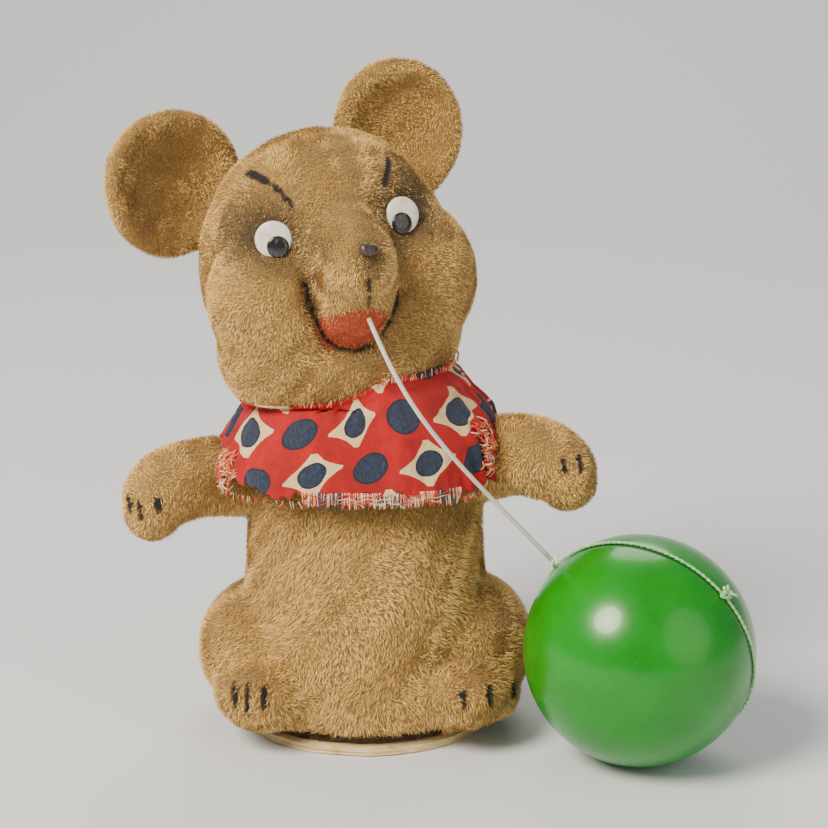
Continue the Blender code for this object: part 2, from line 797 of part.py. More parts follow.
def build_key(brass):
    """A butterfly key: a sleeve over the arbor and a flat pair of pierced wings."""
    sleeve = [
        (0, 32.7 * MM),
        (MAIN_ARBOR_RADIUS + GAP, 32.7 * MM),
        (MAIN_ARBOR_RADIUS + GAP, 26.4 * MM),
        (3.1 * MM, 26.4 * MM),
        (3.1 * MM, 34.6 * MM),
        (2.6 * MM, 35.4 * MM),
        (0, 35.4 * MM),
    ]
    key = lathe("winding_key", sleeve, brass, 28, along_y(*MAIN_AXIS))
    half = 0.75 * MM
    outline = []
    for side in (1, -1):
        for k in range(13):
            a = math.radians(-115 + 230 * k / 12)
            y = (42.4 * MM) + 5.6 * MM * math.sin(a) * side
            x = (8.4 * MM + 5.8 * MM * math.cos(a)) * side
            outline.append((x, y))
    low = [Vector((x, y, MAIN_AXIS[1] - half)) for x, y in outline]
    high = [Vector((x, y, MAIN_AXIS[1] + half)) for x, y in outline]
    wings = loft("wings", [low, high])
    stem = box("stem", (-2.3 * MM, 34.0 * MM, MAIN_AXIS[1] - half), (2.3 * MM, 40 * MM, MAIN_AXIS[1] + half))
    union(wings, stem)
    for side in (1, -1):
        spot = Matrix.Translation((8.6 * MM * side, 42.4 * MM, MAIN_AXIS[1]))
        combine(wings, lathe("eye", tube(2.9 * MM, -3 * MM, 3 * MM), place=spot, count=24), "DIFFERENCE")
    union(key, wings)
    dress(key, brass)
    set_origin(key, (MAIN_AXIS[0], 0, MAIN_AXIS[1]))


CLICK_RADIUS = 7.6 * MM  # distance of the click's pivot from the main arbor
CLICK_ANGLE = math.radians(200)


def build_click(brass, steel):
    """The click rests just off the ratchet's tips and can drop into a tooth."""
    pivot = (
        MAIN_AXIS[0] + CLICK_RADIUS * math.cos(CLICK_ANGLE),
        MAIN_AXIS[1] + CLICK_RADIUS * math.sin(CLICK_ANGLE),
    )
    tip_angle = CLICK_ANGLE + math.radians(38)
    tip_reach = RATCHET_TIP + 0.25 * MM
    tip = (MAIN_AXIS[0] + tip_reach * math.cos(tip_angle), MAIN_AXIS[1] + tip_reach * math.sin(tip_angle))
    line = (Vector(tip) - Vector(pivot)).normalized()
    side = Vector((-line.y, line.x))
    outline = []
    for k in range(9):
        a = math.radians(90 + 180 * k / 8)
        outline.append(Vector(pivot) + line * 1.35 * MM * math.cos(a) + side * 1.35 * MM * math.sin(a))
    inward = side if side.dot(Vector(MAIN_AXIS) - Vector(tip)) > 0 else -side
    tail = [Vector(tip) - inward * 1.0 * MM, Vector(tip)]
    if inward == side:
        tail = [Vector(tip) - inward * 1.0 * MM, Vector(tip)]
    outline += tail
    click = plate_solid("click", [(p.x, p.y) for p in outline], 2.0 * MM, 3.1 * MM, brass)
    drill(click, pivot, 0.8 * MM, MM, 5 * MM, 16)
    shade_round(click, 30)
    set_origin(click, (pivot[0], 0, pivot[1]))
    stud = [
        (0, 0.1 * MM),
        (0.5 * MM, 0.1 * MM),
        (0.5 * MM, 3.4 * MM),
        (1.1 * MM, 3.4 * MM),
        (0.9 * MM, 4.0 * MM),
        (0, 4.0 * MM),
    ]
    pin = lathe("click_stud", stud, steel, 16, along_y(*pivot))
    set_origin(pin, (MAIN_AXIS[0], 0, MAIN_AXIS[1]))
    return pivot


def build_train(brass, steel, pivot):
    to_second = direction(MAIN_AXIS, SECOND_AXIS)
    to_crank = direction(SECOND_AXIS, CRANK_AXIS)
    to_governor = direction(CRANK_AXIS, GOVERNOR_AXIS)
    half = math.pi / PINION_TEETH
    bore = MAIN_ARBOR_RADIUS + GAP
    great = wheel("great_wheel", GREAT_TEETH, MAIN_AXIS, to_second, 0.2 * MM, 1.5 * MM, bore, 0, brass)
    great.data.transform(Matrix.Translation((MAIN_AXIS[0], 0, MAIN_AXIS[1])))
    great.location = (0, 0, 0)
    drill(great, pivot, 0.8 * MM, -MM, 3 * MM, 16)
    for turn in (60, 130, 290, 0):
        a = math.radians(turn)
        spot = (MAIN_AXIS[0] + 7 * MM * math.cos(a), MAIN_AXIS[1] + 7 * MM * math.sin(a))
        drill(great, spot, 2.4 * MM, -MM, 3 * MM, 14)
    dress(great, brass, 30)
    set_origin(great, (MAIN_AXIS[0], 0, MAIN_AXIS[1]))
    front = FRONT_PLATE[0] - 0.6 * MM
    back = BACK_PLATE[1] + 0.6 * MM
    small = ARBOR_RADIUS + GAP
    pinion_arbor(
        "second_arbor", SECOND_AXIS, to_second + math.pi + half, -0.1 * MM, 1.8 * MM, steel, front, back
    )
    wheel("second_wheel", SECOND_TEETH, SECOND_AXIS, to_crank, -2.6 * MM, -1.5 * MM, small, 5, brass)
    pinion_arbor(
        "crank_arbor",
        CRANK_AXIS,
        to_crank + math.pi + half,
        -2.8 * MM,
        -1.2 * MM,
        steel,
        -6.6 * MM,
        back,
    )
    wheel("third_wheel", THIRD_TEETH, CRANK_AXIS, to_governor, 2.6 * MM, 3.7 * MM, small, 5, brass)
    pinion_arbor(
        "governor_arbor",
        GOVERNOR_AXIS,
        to_governor + math.pi + half,
        2.3 * MM,
        4.0 * MM,
        steel,
        front,
        back,
    )
    build_governor(brass)
    build_crank(brass, steel)


def build_governor(brass):
    """A two-winged air brake on the fastest arbor."""
    outline = []
    for side in (0, 180):
        for reach, spread in ((2.5, -55), (4.4, -26), (4.7, 0), (4.4, 26), (2.5, 55)):
            a = math.radians(spread + side + 20)
            outline.append((reach * MM * math.cos(a), reach * MM * math.sin(a)))
    fly = plate_solid("governor_fly", moved(outline, GOVERNOR_AXIS), 5.2 * MM, 6.4 * MM, brass)
    drill(fly, GOVERNOR_AXIS, ARBOR_RADIUS + GAP, 4 * MM, 8 * MM)
    shade_round(fly, 25)
    set_origin(fly, (GOVERNOR_AXIS[0], 0, GOVERNOR_AXIS[1]))


def build_crank(brass, steel):
    disc = lathe("crank_disc", tube(4.8 * MM, -6.0 * MM, -4.9 * MM), brass, 36, along_y(*CRANK_AXIS))
    drill(disc, CRANK_AXIS, ARBOR_RADIUS + GAP, -8 * MM, -3 * MM)
    spot = (CRANK_AXIS[0] + CRANK_THROW, CRANK_AXIS[1])
    drill(disc, spot, 1.1 * MM, -8 * MM, -3 * MM)
    dress(disc, brass)
    pin = lathe("crank_pin", tube(0.8 * MM, -7.1 * MM, -4.7 * MM), steel, 16, along_y(*spot))
    for ob in (disc, pin):
        set_origin(ob, (CRANK_AXIS[0], 0, CRANK_AXIS[1]))


def build_yoke(steel):
    """A hub on the neck shaft, an arm over the front plate and a slotted fork hanging from it."""
    low = PLATE_TOP + 1.6 * MM
    high = low + 2.6 * MM
    yoke = lathe("head_yoke", tube(3.3 * MM, low, high), steel, 28)
    arm = box("arm", (-1.6 * MM, -YOKE_REACH - 0.3 * MM, low), (1.6 * MM, -1.0 * MM, high - 0.6 * MM))
    fork = box(
        "fork",
        (-2.2 * MM, -YOKE_REACH - 0.5 * MM, 36.6 * MM),
        (2.2 * MM, -YOKE_REACH + 0.4 * MM, low + 1.0 * MM),
    )
    union(yoke, arm, fork)
    slot = box(
        "slot",
        (-1.1 * MM, -YOKE_REACH - 2 * MM, 36.0 * MM),
        (1.1 * MM, -YOKE_REACH + 2 * MM, 47.4 * MM),
    )
    combine(yoke, slot, "DIFFERENCE")
    combine(yoke, lathe("shaft_hole", tube(1.8 * MM, 0.03, 0.07), count=24), "DIFFERENCE")
    turn = Matrix.Translation((NECK_X, 0, 0)) @ Matrix.Rotation(math.radians(HEAD_YAW), 4, "Z")
    yoke.data.transform(turn)
    dress(yoke, steel)


def build_escutcheon(brass):
    profile = ring(6.2 * MM, 2.4 * MM, 23.9 * MM, 24.9 * MM)
    lathe("key_escutcheon", profile, brass, 32, along_y(*MAIN_AXIS))


# ---------------------------------------------------------------- ball and line


def build_ball(green, thread):
    for name, side in (("ball_half_near", -1), ("ball_half_far", 1)):
        half = ball(name, (0, 0, 0), (BALL_RADIUS,) * 3, 30, 15)
        inner = BALL_RADIUS - BALL_WALL
        combine(half, ball("hollow", (0, 0, 0), (inner,) * 3, 16, 8), "DIFFERENCE")
        shift = SEAM_OFFSET * side
        slab = box("half_space", (-0.05, -0.05, -0.05), (0.05, 0.05, shift + GAP / 2))
        combine(half, slab, "DIFFERENCE")
        turn = (SEAM_NORMAL * side).to_track_quat("Z", "Y").to_matrix().to_4x4()
        half.data.transform(Matrix.Translation(BALL_MID) @ turn)
        dress(half, green, 50)
    reach = math.sqrt(BALL_RADIUS**2 - SEAM_OFFSET**2) + THREAD_RADIUS + 0.1 * MM
    profile = []
    for k in range(5):
        a = 2 * math.pi * k / 5
        spot = (reach + THREAD_RADIUS * math.cos(a), SEAM_OFFSET + THREAD_RADIUS * math.sin(a))
        profile.append(spot)
    lathe("ball_thread", profile, thread, 36, aimed(BALL_MID, SEAM_NORMAL))
    knot_way = seam_point(Vector((0.66, 0.20, 0.55)))
    middle = BALL_MID + knot_way * (BALL_RADIUS + 1.9 * MM)
    ball("ball_knot", middle, (1.3 * MM, 1.1 * MM, 1.1 * MM), 10, 6, mat=thread)


def seam_point(guess):
    """The direction on the ball's seam circle nearest to a guessed direction."""
    flat = guess - SEAM_NORMAL * guess.dot(SEAM_NORMAL)
    share = SEAM_OFFSET / BALL_RADIUS
    return (flat.normalized() * math.sqrt(1 - share**2) + SEAM_NORMAL * share).normalized()


def build_line(start, outward, nylon):
    """The nylon line, a smooth sagging curve from the mouth to the thread round the ball."""
    end_way = seam_point(Vector((-0.69, 0.32, 0.65)))
    first = start + outward * 0.2 * MM
    last = BALL_MID + end_way * (BALL_RADIUS + 1.6 * MM)
    second = start + outward * 9.5 * MM + Vector((0.0, 0, -0.6)) * MM
    third = last + Vector((-17.0, -8.0, 16.0)) * MM
    curve = bpy.data.curves.new("nylon_line", "CURVE")
    curve.dimensions = "3D"
    curve.bevel_depth = LINE_RADIUS
    curve.bevel_resolution = 2
    curve.use_fill_caps = True
    curve.render_resolution_u = 0
    spline = curve.splines.new("POLY")
    count = 28
    spline.points.add(count - 1)
    for i in range(count):
        t = i / (count - 1)
        s = 1 - t
        spot = first * s**3 + second * 3 * s * s * t + third * 3 * s * t * t + last * t**3
        spline.points[i].co = (*spot, 1.0)
    curve.materials.append(nylon)
    ob = bpy.data.objects.new("nylon_line", curve)
    bpy.context.collection.objects.link(ob)
    stop = start - outward * 5.2 * MM
    ball("line_stop_knot", stop, (1.3 * MM, 1.3 * MM, 1.3 * MM), 10, 6, mat=nylon)


def main():
    clear_scene()
    flock = material("tan_flock", (0.42, 0.29, 0.14), 0.95)
    head_flock = material("tan_flock_head", (0.44, 0.31, 0.15), 0.95)
    board = material("cream_board", (0.72, 0.62, 0.42), 0.85)
    cloth = material("red_cotton", (0.55, 0.03, 0.03), 0.9)
    white = material("white_enamel", (0.85, 0.83, 0.76), 0.4)
    black = material("black_enamel", (0.02, 0.02, 0.02), 0.35)
    dark = material("nose_enamel", (0.04, 0.025, 0.02), 0.3)
    brass = material("brass_plate", (0.70, 0.50, 0.18), 0.35, 1.0)
    steel = material("bright_steel", (0.55, 0.56, 0.58), 0.35, 1.0)
    spring = material("blued_spring", (0.10, 0.13, 0.22), 0.3, 1.0)
    bush = material("bush_nylon", (0.75, 0.73, 0.66), 0.5)
    plug = material("plug_board", (0.55, 0.45, 0.30), 0.8)
    green = material("green_plastic", (0.01, 0.36, 0.03), 0.18)
    thread = material("green_thread", (0.12, 0.5, 0.12), 0.7)
    nylon = material("nylon", (0.8, 0.78, 0.72), 0.25)

    build_base(board, steel)
    build_body(flock)
    build_vest(cloth)
    face, _ = build_head(head_flock)
    mouth, outward, _ = build_face(face, white, black, dark)
    build_neck(bush, plug, steel)
    build_plates(steel)
    build_pillars(brass)
    spiral_strip("mainspring", spring)
    build_winding(brass, steel)
    pivot = build_click(brass, steel)
    build_train(brass, steel, pivot)
    build_yoke(steel)
    build_escutcheon(brass)
    build_ball(green, thread)
    build_line(mouth, outward, nylon)
    for name in ("head_front_shell", "head_back_shell", "head_plug", "neck_shaft", "head_yoke"):
        set_origin(bpy.data.objects[name], (NECK_X, 0, BODY_TOP))
    print("mouth", [round(c / MM, 3) for c in mouth], "click pivot", [round(c / MM, 3) for c in pivot])
    for name, axis in (("second", SECOND_AXIS), ("crank", CRANK_AXIS), ("governor", GOVERNOR_AXIS)):
        print(name, "axis", [round(c / MM, 4) for c in axis])


main()
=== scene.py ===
"""Looks for the clockwork mouse: flocked skins with real pile, a printed cotton vest, a glossy ball
on a nylon line, and worn metal for the motor and its key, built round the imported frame."""

import json
import math

import bmesh
import bpy
import numpy as np
from mathutils import Matrix, Vector, noise
from mathutils.bvhtree import BVHTree


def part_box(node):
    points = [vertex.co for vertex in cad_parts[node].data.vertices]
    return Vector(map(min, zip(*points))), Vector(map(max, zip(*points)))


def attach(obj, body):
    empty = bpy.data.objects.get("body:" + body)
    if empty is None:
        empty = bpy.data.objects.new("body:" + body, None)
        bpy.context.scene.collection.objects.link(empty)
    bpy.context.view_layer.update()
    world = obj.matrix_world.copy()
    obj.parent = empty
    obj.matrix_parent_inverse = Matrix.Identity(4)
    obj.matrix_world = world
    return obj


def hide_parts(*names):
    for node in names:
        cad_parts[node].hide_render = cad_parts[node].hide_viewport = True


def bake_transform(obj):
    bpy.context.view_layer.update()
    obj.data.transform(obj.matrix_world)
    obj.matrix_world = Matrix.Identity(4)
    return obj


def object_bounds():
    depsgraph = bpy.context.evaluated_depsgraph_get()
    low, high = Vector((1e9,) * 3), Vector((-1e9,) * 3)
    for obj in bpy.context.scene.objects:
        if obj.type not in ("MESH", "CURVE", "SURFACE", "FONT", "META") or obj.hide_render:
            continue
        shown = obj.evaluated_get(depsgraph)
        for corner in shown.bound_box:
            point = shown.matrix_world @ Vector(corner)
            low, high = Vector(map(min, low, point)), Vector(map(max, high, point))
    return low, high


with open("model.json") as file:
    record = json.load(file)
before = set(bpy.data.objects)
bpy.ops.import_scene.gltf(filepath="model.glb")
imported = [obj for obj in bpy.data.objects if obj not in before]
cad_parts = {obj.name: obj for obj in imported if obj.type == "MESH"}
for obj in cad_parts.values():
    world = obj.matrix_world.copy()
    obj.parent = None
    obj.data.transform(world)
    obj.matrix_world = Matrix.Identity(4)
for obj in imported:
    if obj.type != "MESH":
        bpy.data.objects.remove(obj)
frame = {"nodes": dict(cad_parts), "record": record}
cad_low, cad_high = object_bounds()
MM = 0.001

# Camera: level with the belly, looking slightly down
CAMERA_AIM = Vector((9.8, 0.0, 62.8)) * MM
CAMERA_ELEVATION = 14.0
CAMERA_DISTANCE = 0.45
CAMERA_LENS = 98.0

# The head's own middle, and how far the face is turned and tipped
HEAD_MID = Vector((-8.0, 0.0, 92.7)) * MM
HEAD_TURN = Matrix.Rotation(math.radians(-8.3), 4, "Y") @ Matrix.Rotation(math.radians(18), 4, "Z")
HEAD_PLACE = Matrix.Translation(HEAD_MID) @ HEAD_TURN
HEAD_BACK = HEAD_PLACE.inverted()


# ---------------------------------------------------------------- camera


def place_camera():
    camera = bpy.data.objects.new("camera", bpy.data.cameras.new("camera"))
    bpy.context.collection.objects.link(camera)
    lift = math.radians(CAMERA_ELEVATION)
    back = Vector((0, -math.cos(lift), math.sin(lift)))
    camera.location = CAMERA_AIM + back * CAMERA_DISTANCE
    camera.rotation_euler = (-back).to_track_quat("-Z", "Y").to_euler()
    camera.data.lens = CAMERA_LENS
    camera.data.clip_start = 0.01
    bpy.context.scene.camera = camera


place_camera()


# ---------------------------------------------------------------- the line

# The ball's seam is a circle square to this way, this share of the radius off the middle
SEAM_NORMAL = Vector((0.475, 0.834, 0.286)).normalized()
SEAM_SHARE = 0.127
# Where the line is tied, as a way out from the ball's middle
TIE_GUESS = Vector((-0.69, 0.32, 0.65))

LINE_DIAMETER = 0.88 * MM
LINE_POINTS = 34
MOUTH = Vector((1.325, -26.174, 87.694)) * MM
TIED_BALL_MID = Vector((53.2, -26.0, 22.4)) * MM
TIED_BALL_RADIUS = 22.4 * MM
LINE_STANDOFF = 1.6 * MM
# How the line leaves its two ends: downwards at the mouth, and up and back from the ball
LINE_FROM_MOUTH = Vector((8.2, -10.0, -17.6)) * MM
LINE_FROM_BALL = Vector((-22.0, -8.0, 25.2)) * MM


def seam_point(guess):
    """The direction on the ball's seam circle nearest to a guessed direction."""
    flat = guess - SEAM_NORMAL * guess.dot(SEAM_NORMAL)
    return (flat.normalized() * math.sqrt(1 - SEAM_SHARE**2) + SEAM_NORMAL * SEAM_SHARE).normalized()


def line_route():
    """The hanging line between the frame's own two ends, bowed a little fuller than the frame's."""
    outward = (HEAD_TURN @ Vector((0, -1, -0.35))).normalized()
    first = MOUTH + outward * 0.2 * MM
    last = TIED_BALL_MID + seam_point(TIE_GUESS) * (TIED_BALL_RADIUS + LINE_STANDOFF)
    second = MOUTH + LINE_FROM_MOUTH
    third = last + LINE_FROM_BALL
    points = []
    for i in range(LINE_POINTS):
        t = i / (LINE_POINTS - 1)
        s = 1 - t
        points.append(first * s**3 + second * 3 * s * s * t + third * 3 * s * t * t + last * t**3)
    return points


# ---------------------------------------------------------------- material helpers


class Look:
    """A node material built up step by step, on one Principled shader."""

    def __init__(self, name, colour=(0.5, 0.5, 0.5), **values):
        self.mat = bpy.data.materials.new(name)
        self.mat.use_nodes = True
        self.tree = self.mat.node_tree
        self.shader = self.tree.nodes["Principled BSDF"]
        self.shader.inputs["Base Color"].default_value = (*colour, 1.0)
        for key, value in values.items():
            self.shader.inputs[key.replace("_", " ")].default_value = value

    def node(self, kind, **settings):
        made = self.tree.nodes.new(kind)
        for key, value in settings.items():
            setattr(made, key, value)
        return made

    def put(self, socket, value):
        if isinstance(value, bpy.types.NodeSocket):
            self.tree.links.new(value, socket)
        elif value is not None:
            socket.default_value = value

    def coords(self, kind="Object", scale=None):
        out = self.node("ShaderNodeTexCoord").outputs[kind]
        if scale is None:
            return out
        mapping = self.node("ShaderNodeMapping")
        self.put(mapping.inputs["Vector"], out)
        mapping.inputs["Scale"].default_value = scale
        return mapping.outputs["Vector"]

    def noise(self, scale, detail=3.0, roughness=0.55, vector=None, distortion=0.0):
        made = self.node("ShaderNodeTexNoise")
        made.inputs["Scale"].default_value = scale
        made.inputs["Detail"].default_value = detail
        made.inputs["Roughness"].default_value = roughness
        made.inputs["Distortion"].default_value = distortion
        self.put(made.inputs["Vector"], vector or self.coords())
        return made.outputs["Fac"]

    def ramp(self, fac, *stops):
        made = self.node("ShaderNodeValToRGB")
        elements = made.color_ramp.elements
        while len(elements) < len(stops):
            elements.new(0.5)
        for element, (place, value) in zip(elements, stops):
            element.position = place
            colour = value if hasattr(value, "__len__") else (value, value, value)
            element.color = (*colour, 1.0)
        self.put(made.inputs["Fac"], fac)
        return made.outputs["Color"]

    def mix(self, fac, a, b, blend="MIX"):
        made = self.node("ShaderNodeMix", data_type="RGBA", blend_type=blend)
        self.put(made.inputs[0], fac)
        for socket, value in ((made.inputs[6], a), (made.inputs[7], b)):
            if hasattr(value, "__len__") and not isinstance(value, bpy.types.NodeSocket):
                value = (*value[:3], 1.0)
            self.put(socket, value)
        return made.outputs[2]

    def calc(self, operation, a, b=0.0, c=None):
        made = self.node("ShaderNodeMath", operation=operation)
        for socket, value in zip(made.inputs, (a, b, c)):
            self.put(socket, value)
        return made.outputs[0]

    def times(self, a, b):
        return self.calc("MULTIPLY", a, b)

    def plus(self, a, b):
        return self.calc("ADD", a, b)

    def minus(self, a, b):
        return self.calc("SUBTRACT", a, b)

    def times_plus(self, a, b, c):
        return self.calc("MULTIPLY_ADD", a, b, c)

    def colour(self, value):
        self.put(self.shader.inputs["Base Color"], value)
        return self

    def rough(self, value):
        self.put(self.shader.inputs["Roughness"], value)
        return self

    def bump(self, height, strength=0.3, distance=0.2):
        made = self.node("ShaderNodeBump")
        made.inputs["Strength"].default_value = strength
        made.inputs["Distance"].default_value = distance * MM
        self.put(made.inputs["Height"], height)
        self.put(self.shader.inputs["Normal"], made.outputs["Normal"])
        return self


def metal_look(name, colour, dull, rough=0.32, grain=(900, 900, 40)):
    """Sheet or bar metal with fine grain, dull patches and faint scratches."""
    look = Look(name, colour, Metallic=1.0)
    grain_fac = look.noise(1.0, 4, 0.6, look.coords(scale=grain))
    patch = look.noise(160, 5, 0.6)
    look.colour(look.mix(look.ramp(patch, (0.35, 0.0), (0.7, 1.0)), colour, dull))
    smear = look.times_plus(patch, 0.35, rough - 0.12)
    look.rough(look.times_plus(grain_fac, 0.12, smear))
    look.bump(grain_fac, 0.18, 0.05)
    return look.mat


# ---------------------------------------------------------------- mesh helpers


def new_object(name, mesh, mats=()):
    ob = bpy.data.objects.new(name, mesh)
    bpy.context.collection.objects.link(ob)
    for mat in mats:
        mesh.materials.append(mat)
    return ob


def mesh_from(name, verts, faces, mats=(), smooth=True):
    mesh = bpy.data.meshes.new(name)
    mesh.from_pydata([tuple(v) for v in verts], [], faces)
    mesh.update()
    ob = new_object(name, mesh, mats)
    if smooth:
        mesh.shade_smooth()
    return ob


def ellipsoid_part(bm, middle, radii, turn=None, segments=40):
    """Adds a closed ellipsoid, in millimetres, to the bmesh."""
    made = bmesh.ops.create_uvsphere(bm, u_segments=segments, v_segments=segments // 2, radius=1.0)
    matrix = Matrix.Translation(Vector(middle) * MM)
    if turn is not None:
        matrix = matrix @ turn
    matrix = matrix @ Matrix.Diagonal((*(r * MM for r in radii), 1.0))
    bmesh.ops.transform(bm, matrix=matrix, verts=made["verts"])


def loft(rows):
    """The faces that join each ring to the next, where a ring of one item is a tip."""
    faces = []
    for low, high in zip(rows, rows[1:]):
        count = max(len(low), len(high))
        for i in range(count):
            j = (i + 1) % count
            if len(low) == 1:
                faces.append((low[0], high[j], high[i]))
            elif len(high) == 1:
                faces.append((low[i], low[j], high[0]))
            else:
                faces.append((low[i], low[j], high[j], high[i]))
    return faces


def ring_part(bm, rings):
    """Adds a closed loft through rings of points."""
    rows = [[bm.verts.new(p) for p in ring] for ring in rings]
    for face in loft(rows):
        bm.faces.new(face)
    bm.faces.new(list(reversed(rows[0])))
    bm.faces.new(rows[-1])


def smooth_row(points, steps):
    """Points on a smooth curve through the given tuples, a number of steps between each pair."""
    rows = []
    values = [np.array(p, float) for p in points]
    for i in range(len(values) - 1):
        a = values[max(i - 1, 0)]
        b = values[i]
        c = values[i + 1]
        d = values[min(i + 2, len(values) - 1)]
        for k in range(steps):
            t = k / steps
            bend = (2 * a - 5 * b + 4 * c - d) * t * t + (3 * b - 3 * c + d - a) * t**3
            rows.append(0.5 * (2 * b + (c - a) * t + bend))
    rows.append(values[-1])
    return rows


def limb_part(bm, path, count=28):
    """Adds a round limb along (x, y, z, radius) points, in millimetres, with a rounded tip."""
    rows = smooth_row(path, 5)
    rings = []
    for i, row in enumerate(rows):
        here = Vector(row[:3])
        ahead = Vector(rows[min(i + 1, len(rows) - 1)][:3])
        behind = Vector(rows[max(i - 1, 0)][:3])
        along = (ahead - behind).normalized()
        side = along.cross(Vector((0, 1, 0))).normalized()
        up = side.cross(along).normalized()
        steps = [(0.0, 1.0)]
        if i == len(rows) - 1:
            steps = [(0.0, 1.0), (0.35, 0.92), (0.62, 0.76), (0.82, 0.54), (0.94, 0.28)]
        for shift, share in steps:
            middle = here + along * shift * row[3]
            ring = []
            for k in range(count):
                a = 2 * math.pi * k / count
                reach = row[3] * share
                ring.append((middle + (side * math.cos(a) + up * math.sin(a)) * reach) * MM)
            rings.append(ring)
    ring_part(bm, rings)


def remeshed(name, bm, voxel, relax):
    """Joins overlapping closed parts into one skin by voxels and relaxes it."""
    bmesh.ops.recalc_face_normals(bm, faces=bm.faces)
    mesh = bpy.data.meshes.new(name)
    bm.to_mesh(mesh)
    bm.free()
    ob = new_object(name, mesh)
    modifier = ob.modifiers.new("skin", "REMESH")
    modifier.mode = "VOXEL"
    modifier.voxel_size = voxel * MM
    modifier.adaptivity = 0.0
    ease = ob.modifiers.new("ease", "SMOOTH")
    ease.factor = 0.5
    ease.iterations = relax
    bpy.context.view_layer.objects.active = ob
    for modifier in list(ob.modifiers):
        bpy.ops.object.modifier_apply(modifier=modifier.name)
    ob.data.shade_smooth()
    return ob


def tube_into(verts, faces, route, radius, sides, up):
    """Adds a round closed tube along a route to lists of points and faces."""
    base = len(verts)
    last = len(route) - 1
    for i, here in enumerate(route):
        along = (route[min(i + 1, last)] - route[max(i - 1, 0)]).normalized()
        side = along.cross(up)
        side = side.normalized() if side.length > 0.05 else along.orthogonal().normalized()
        up = side.cross(along).normalized()
        for k in range(sides):
            a = 2 * math.pi * k / sides
            verts.append(here + (side * math.cos(a) + up * math.sin(a)) * radius)
    rows = [range(base + i * sides, base + (i + 1) * sides) for i in range(last + 1)]
    faces.extend(loft(rows))
    faces.append(tuple(reversed(rows[0])))
    faces.append(tuple(rows[-1]))


def vertex_array(ob):
    co = np.empty(len(ob.data.vertices) * 3)
    ob.data.vertices.foreach_get("co", co)
    return co.reshape(-1, 3)


def normal_array(ob):
    no = np.empty(len(ob.data.vertices) * 3)
    ob.data.vertices.foreach_get("normal", no)
    return no.reshape(-1, 3)


def write_vertices(ob, co):
    ob.data.vertices.foreach_set("co", np.ascontiguousarray(co, float).ravel())
    ob.data.update()


# ---------------------------------------------------------------- body skin

BODY_ROWS = [
    (1.9, 24.6, 22.8, -0.5),
    (4.0, 26.2, 24.4, -0.6),
    (9.0, 27.0, 25.0, -0.9),
    (18.0, 25.8, 24.2, -1.4),
    (30.0, 23.4, 22.2, -1.6),
    (42.0, 22.8, 20.4, -0.9),
    (50.0, 23.2, 19.4, 0.0),
    (56.0, 21.8, 17.8, 0.0),
    (60.0, 18.2, 15.0, 0.0),
    (62.4, 13.6, 12.0, 0.0),
]
ARM_LEFT = [
    (-14, 0, 51, 7.6), (-24, -2, 50.9, 7.5), (-31.5, -5, 51.2, 7.3), (-37.4, -7.5, 50.4, 7.4),
    (-40.6, -9.5, 47.8, 7.1), (-41.6, -10.5, 45.8, 5.7),
]
ARM_RIGHT = [
    (14, 0, 53, 7.8), (23, -2, 54, 7.6), (30.5, -5, 56, 7.4), (35.4, -7.5, 55.4, 7.5),
    (38.9, -9.3, 53.4, 6.8), (39.9, -10.2, 51.8, 5.6),
]


# The strip along the front where the flock is torn away from the board
TORN_BACK = -8.0
TORN_MID = -1.0
TORN_HALF = 17.0
TORN_TOP = 4.6
BODY_BOTTOM = 2.1


def body_skin():
    """Body, legs, feet and arms in one skin that stands on the board."""
    bm = bmesh.new()
    rings = []
    for z, half_x, half_y, mid in smooth_row(BODY_ROWS, 4):
        ring = []
        for i in range(72):
            a = 2 * math.pi * i / 72
            ring.append(Vector((half_x * math.cos(a), mid + half_y * math.sin(a), z)) * MM)
        rings.append(ring)
    ring_part(bm, rings)
    for side in (1, -1):
        up = 0.25 * side
        ellipsoid_part(bm, (20.2 * side, -1.5, 15.3 + 1.4 * up), (13.0, 17.6, 13.1 + up))
        ellipsoid_part(bm, (18.4 * side, -14.9, 10.6 + up), (11.0, 12.2, 6.8))
        ellipsoid_part(bm, (19.5 * side, -20.0, 11.0 + up), (8.5, 8.2, 6.0))
    ellipsoid_part(bm, (24.4, -10.0, 8.8), (6.2, 10.0, 5.6))
    limb_part(bm, ARM_LEFT)
    limb_part(bm, ARM_RIGHT)
    ob = remeshed("body_skin", bm, 0.95, 9)
    co = vertex_array(ob) + normal_array(ob) * 0.4 * MM
    beside = np.abs(co[:, 0] - TORN_MID * MM) < TORN_HALF * MM
    gap = (co[:, 1] < TORN_BACK * MM) & beside & (co[:, 2] < TORN_TOP * MM)
    co[gap, :2] *= 0.915
    co[:, 2] = np.maximum(co[:, 2], BODY_BOTTOM * MM)
    write_vertices(ob, co)
    return ob


# ---------------------------------------------------------------- head skin


# The height at which the head is cut off flat over the neck
HEAD_FLOOR = 68.2


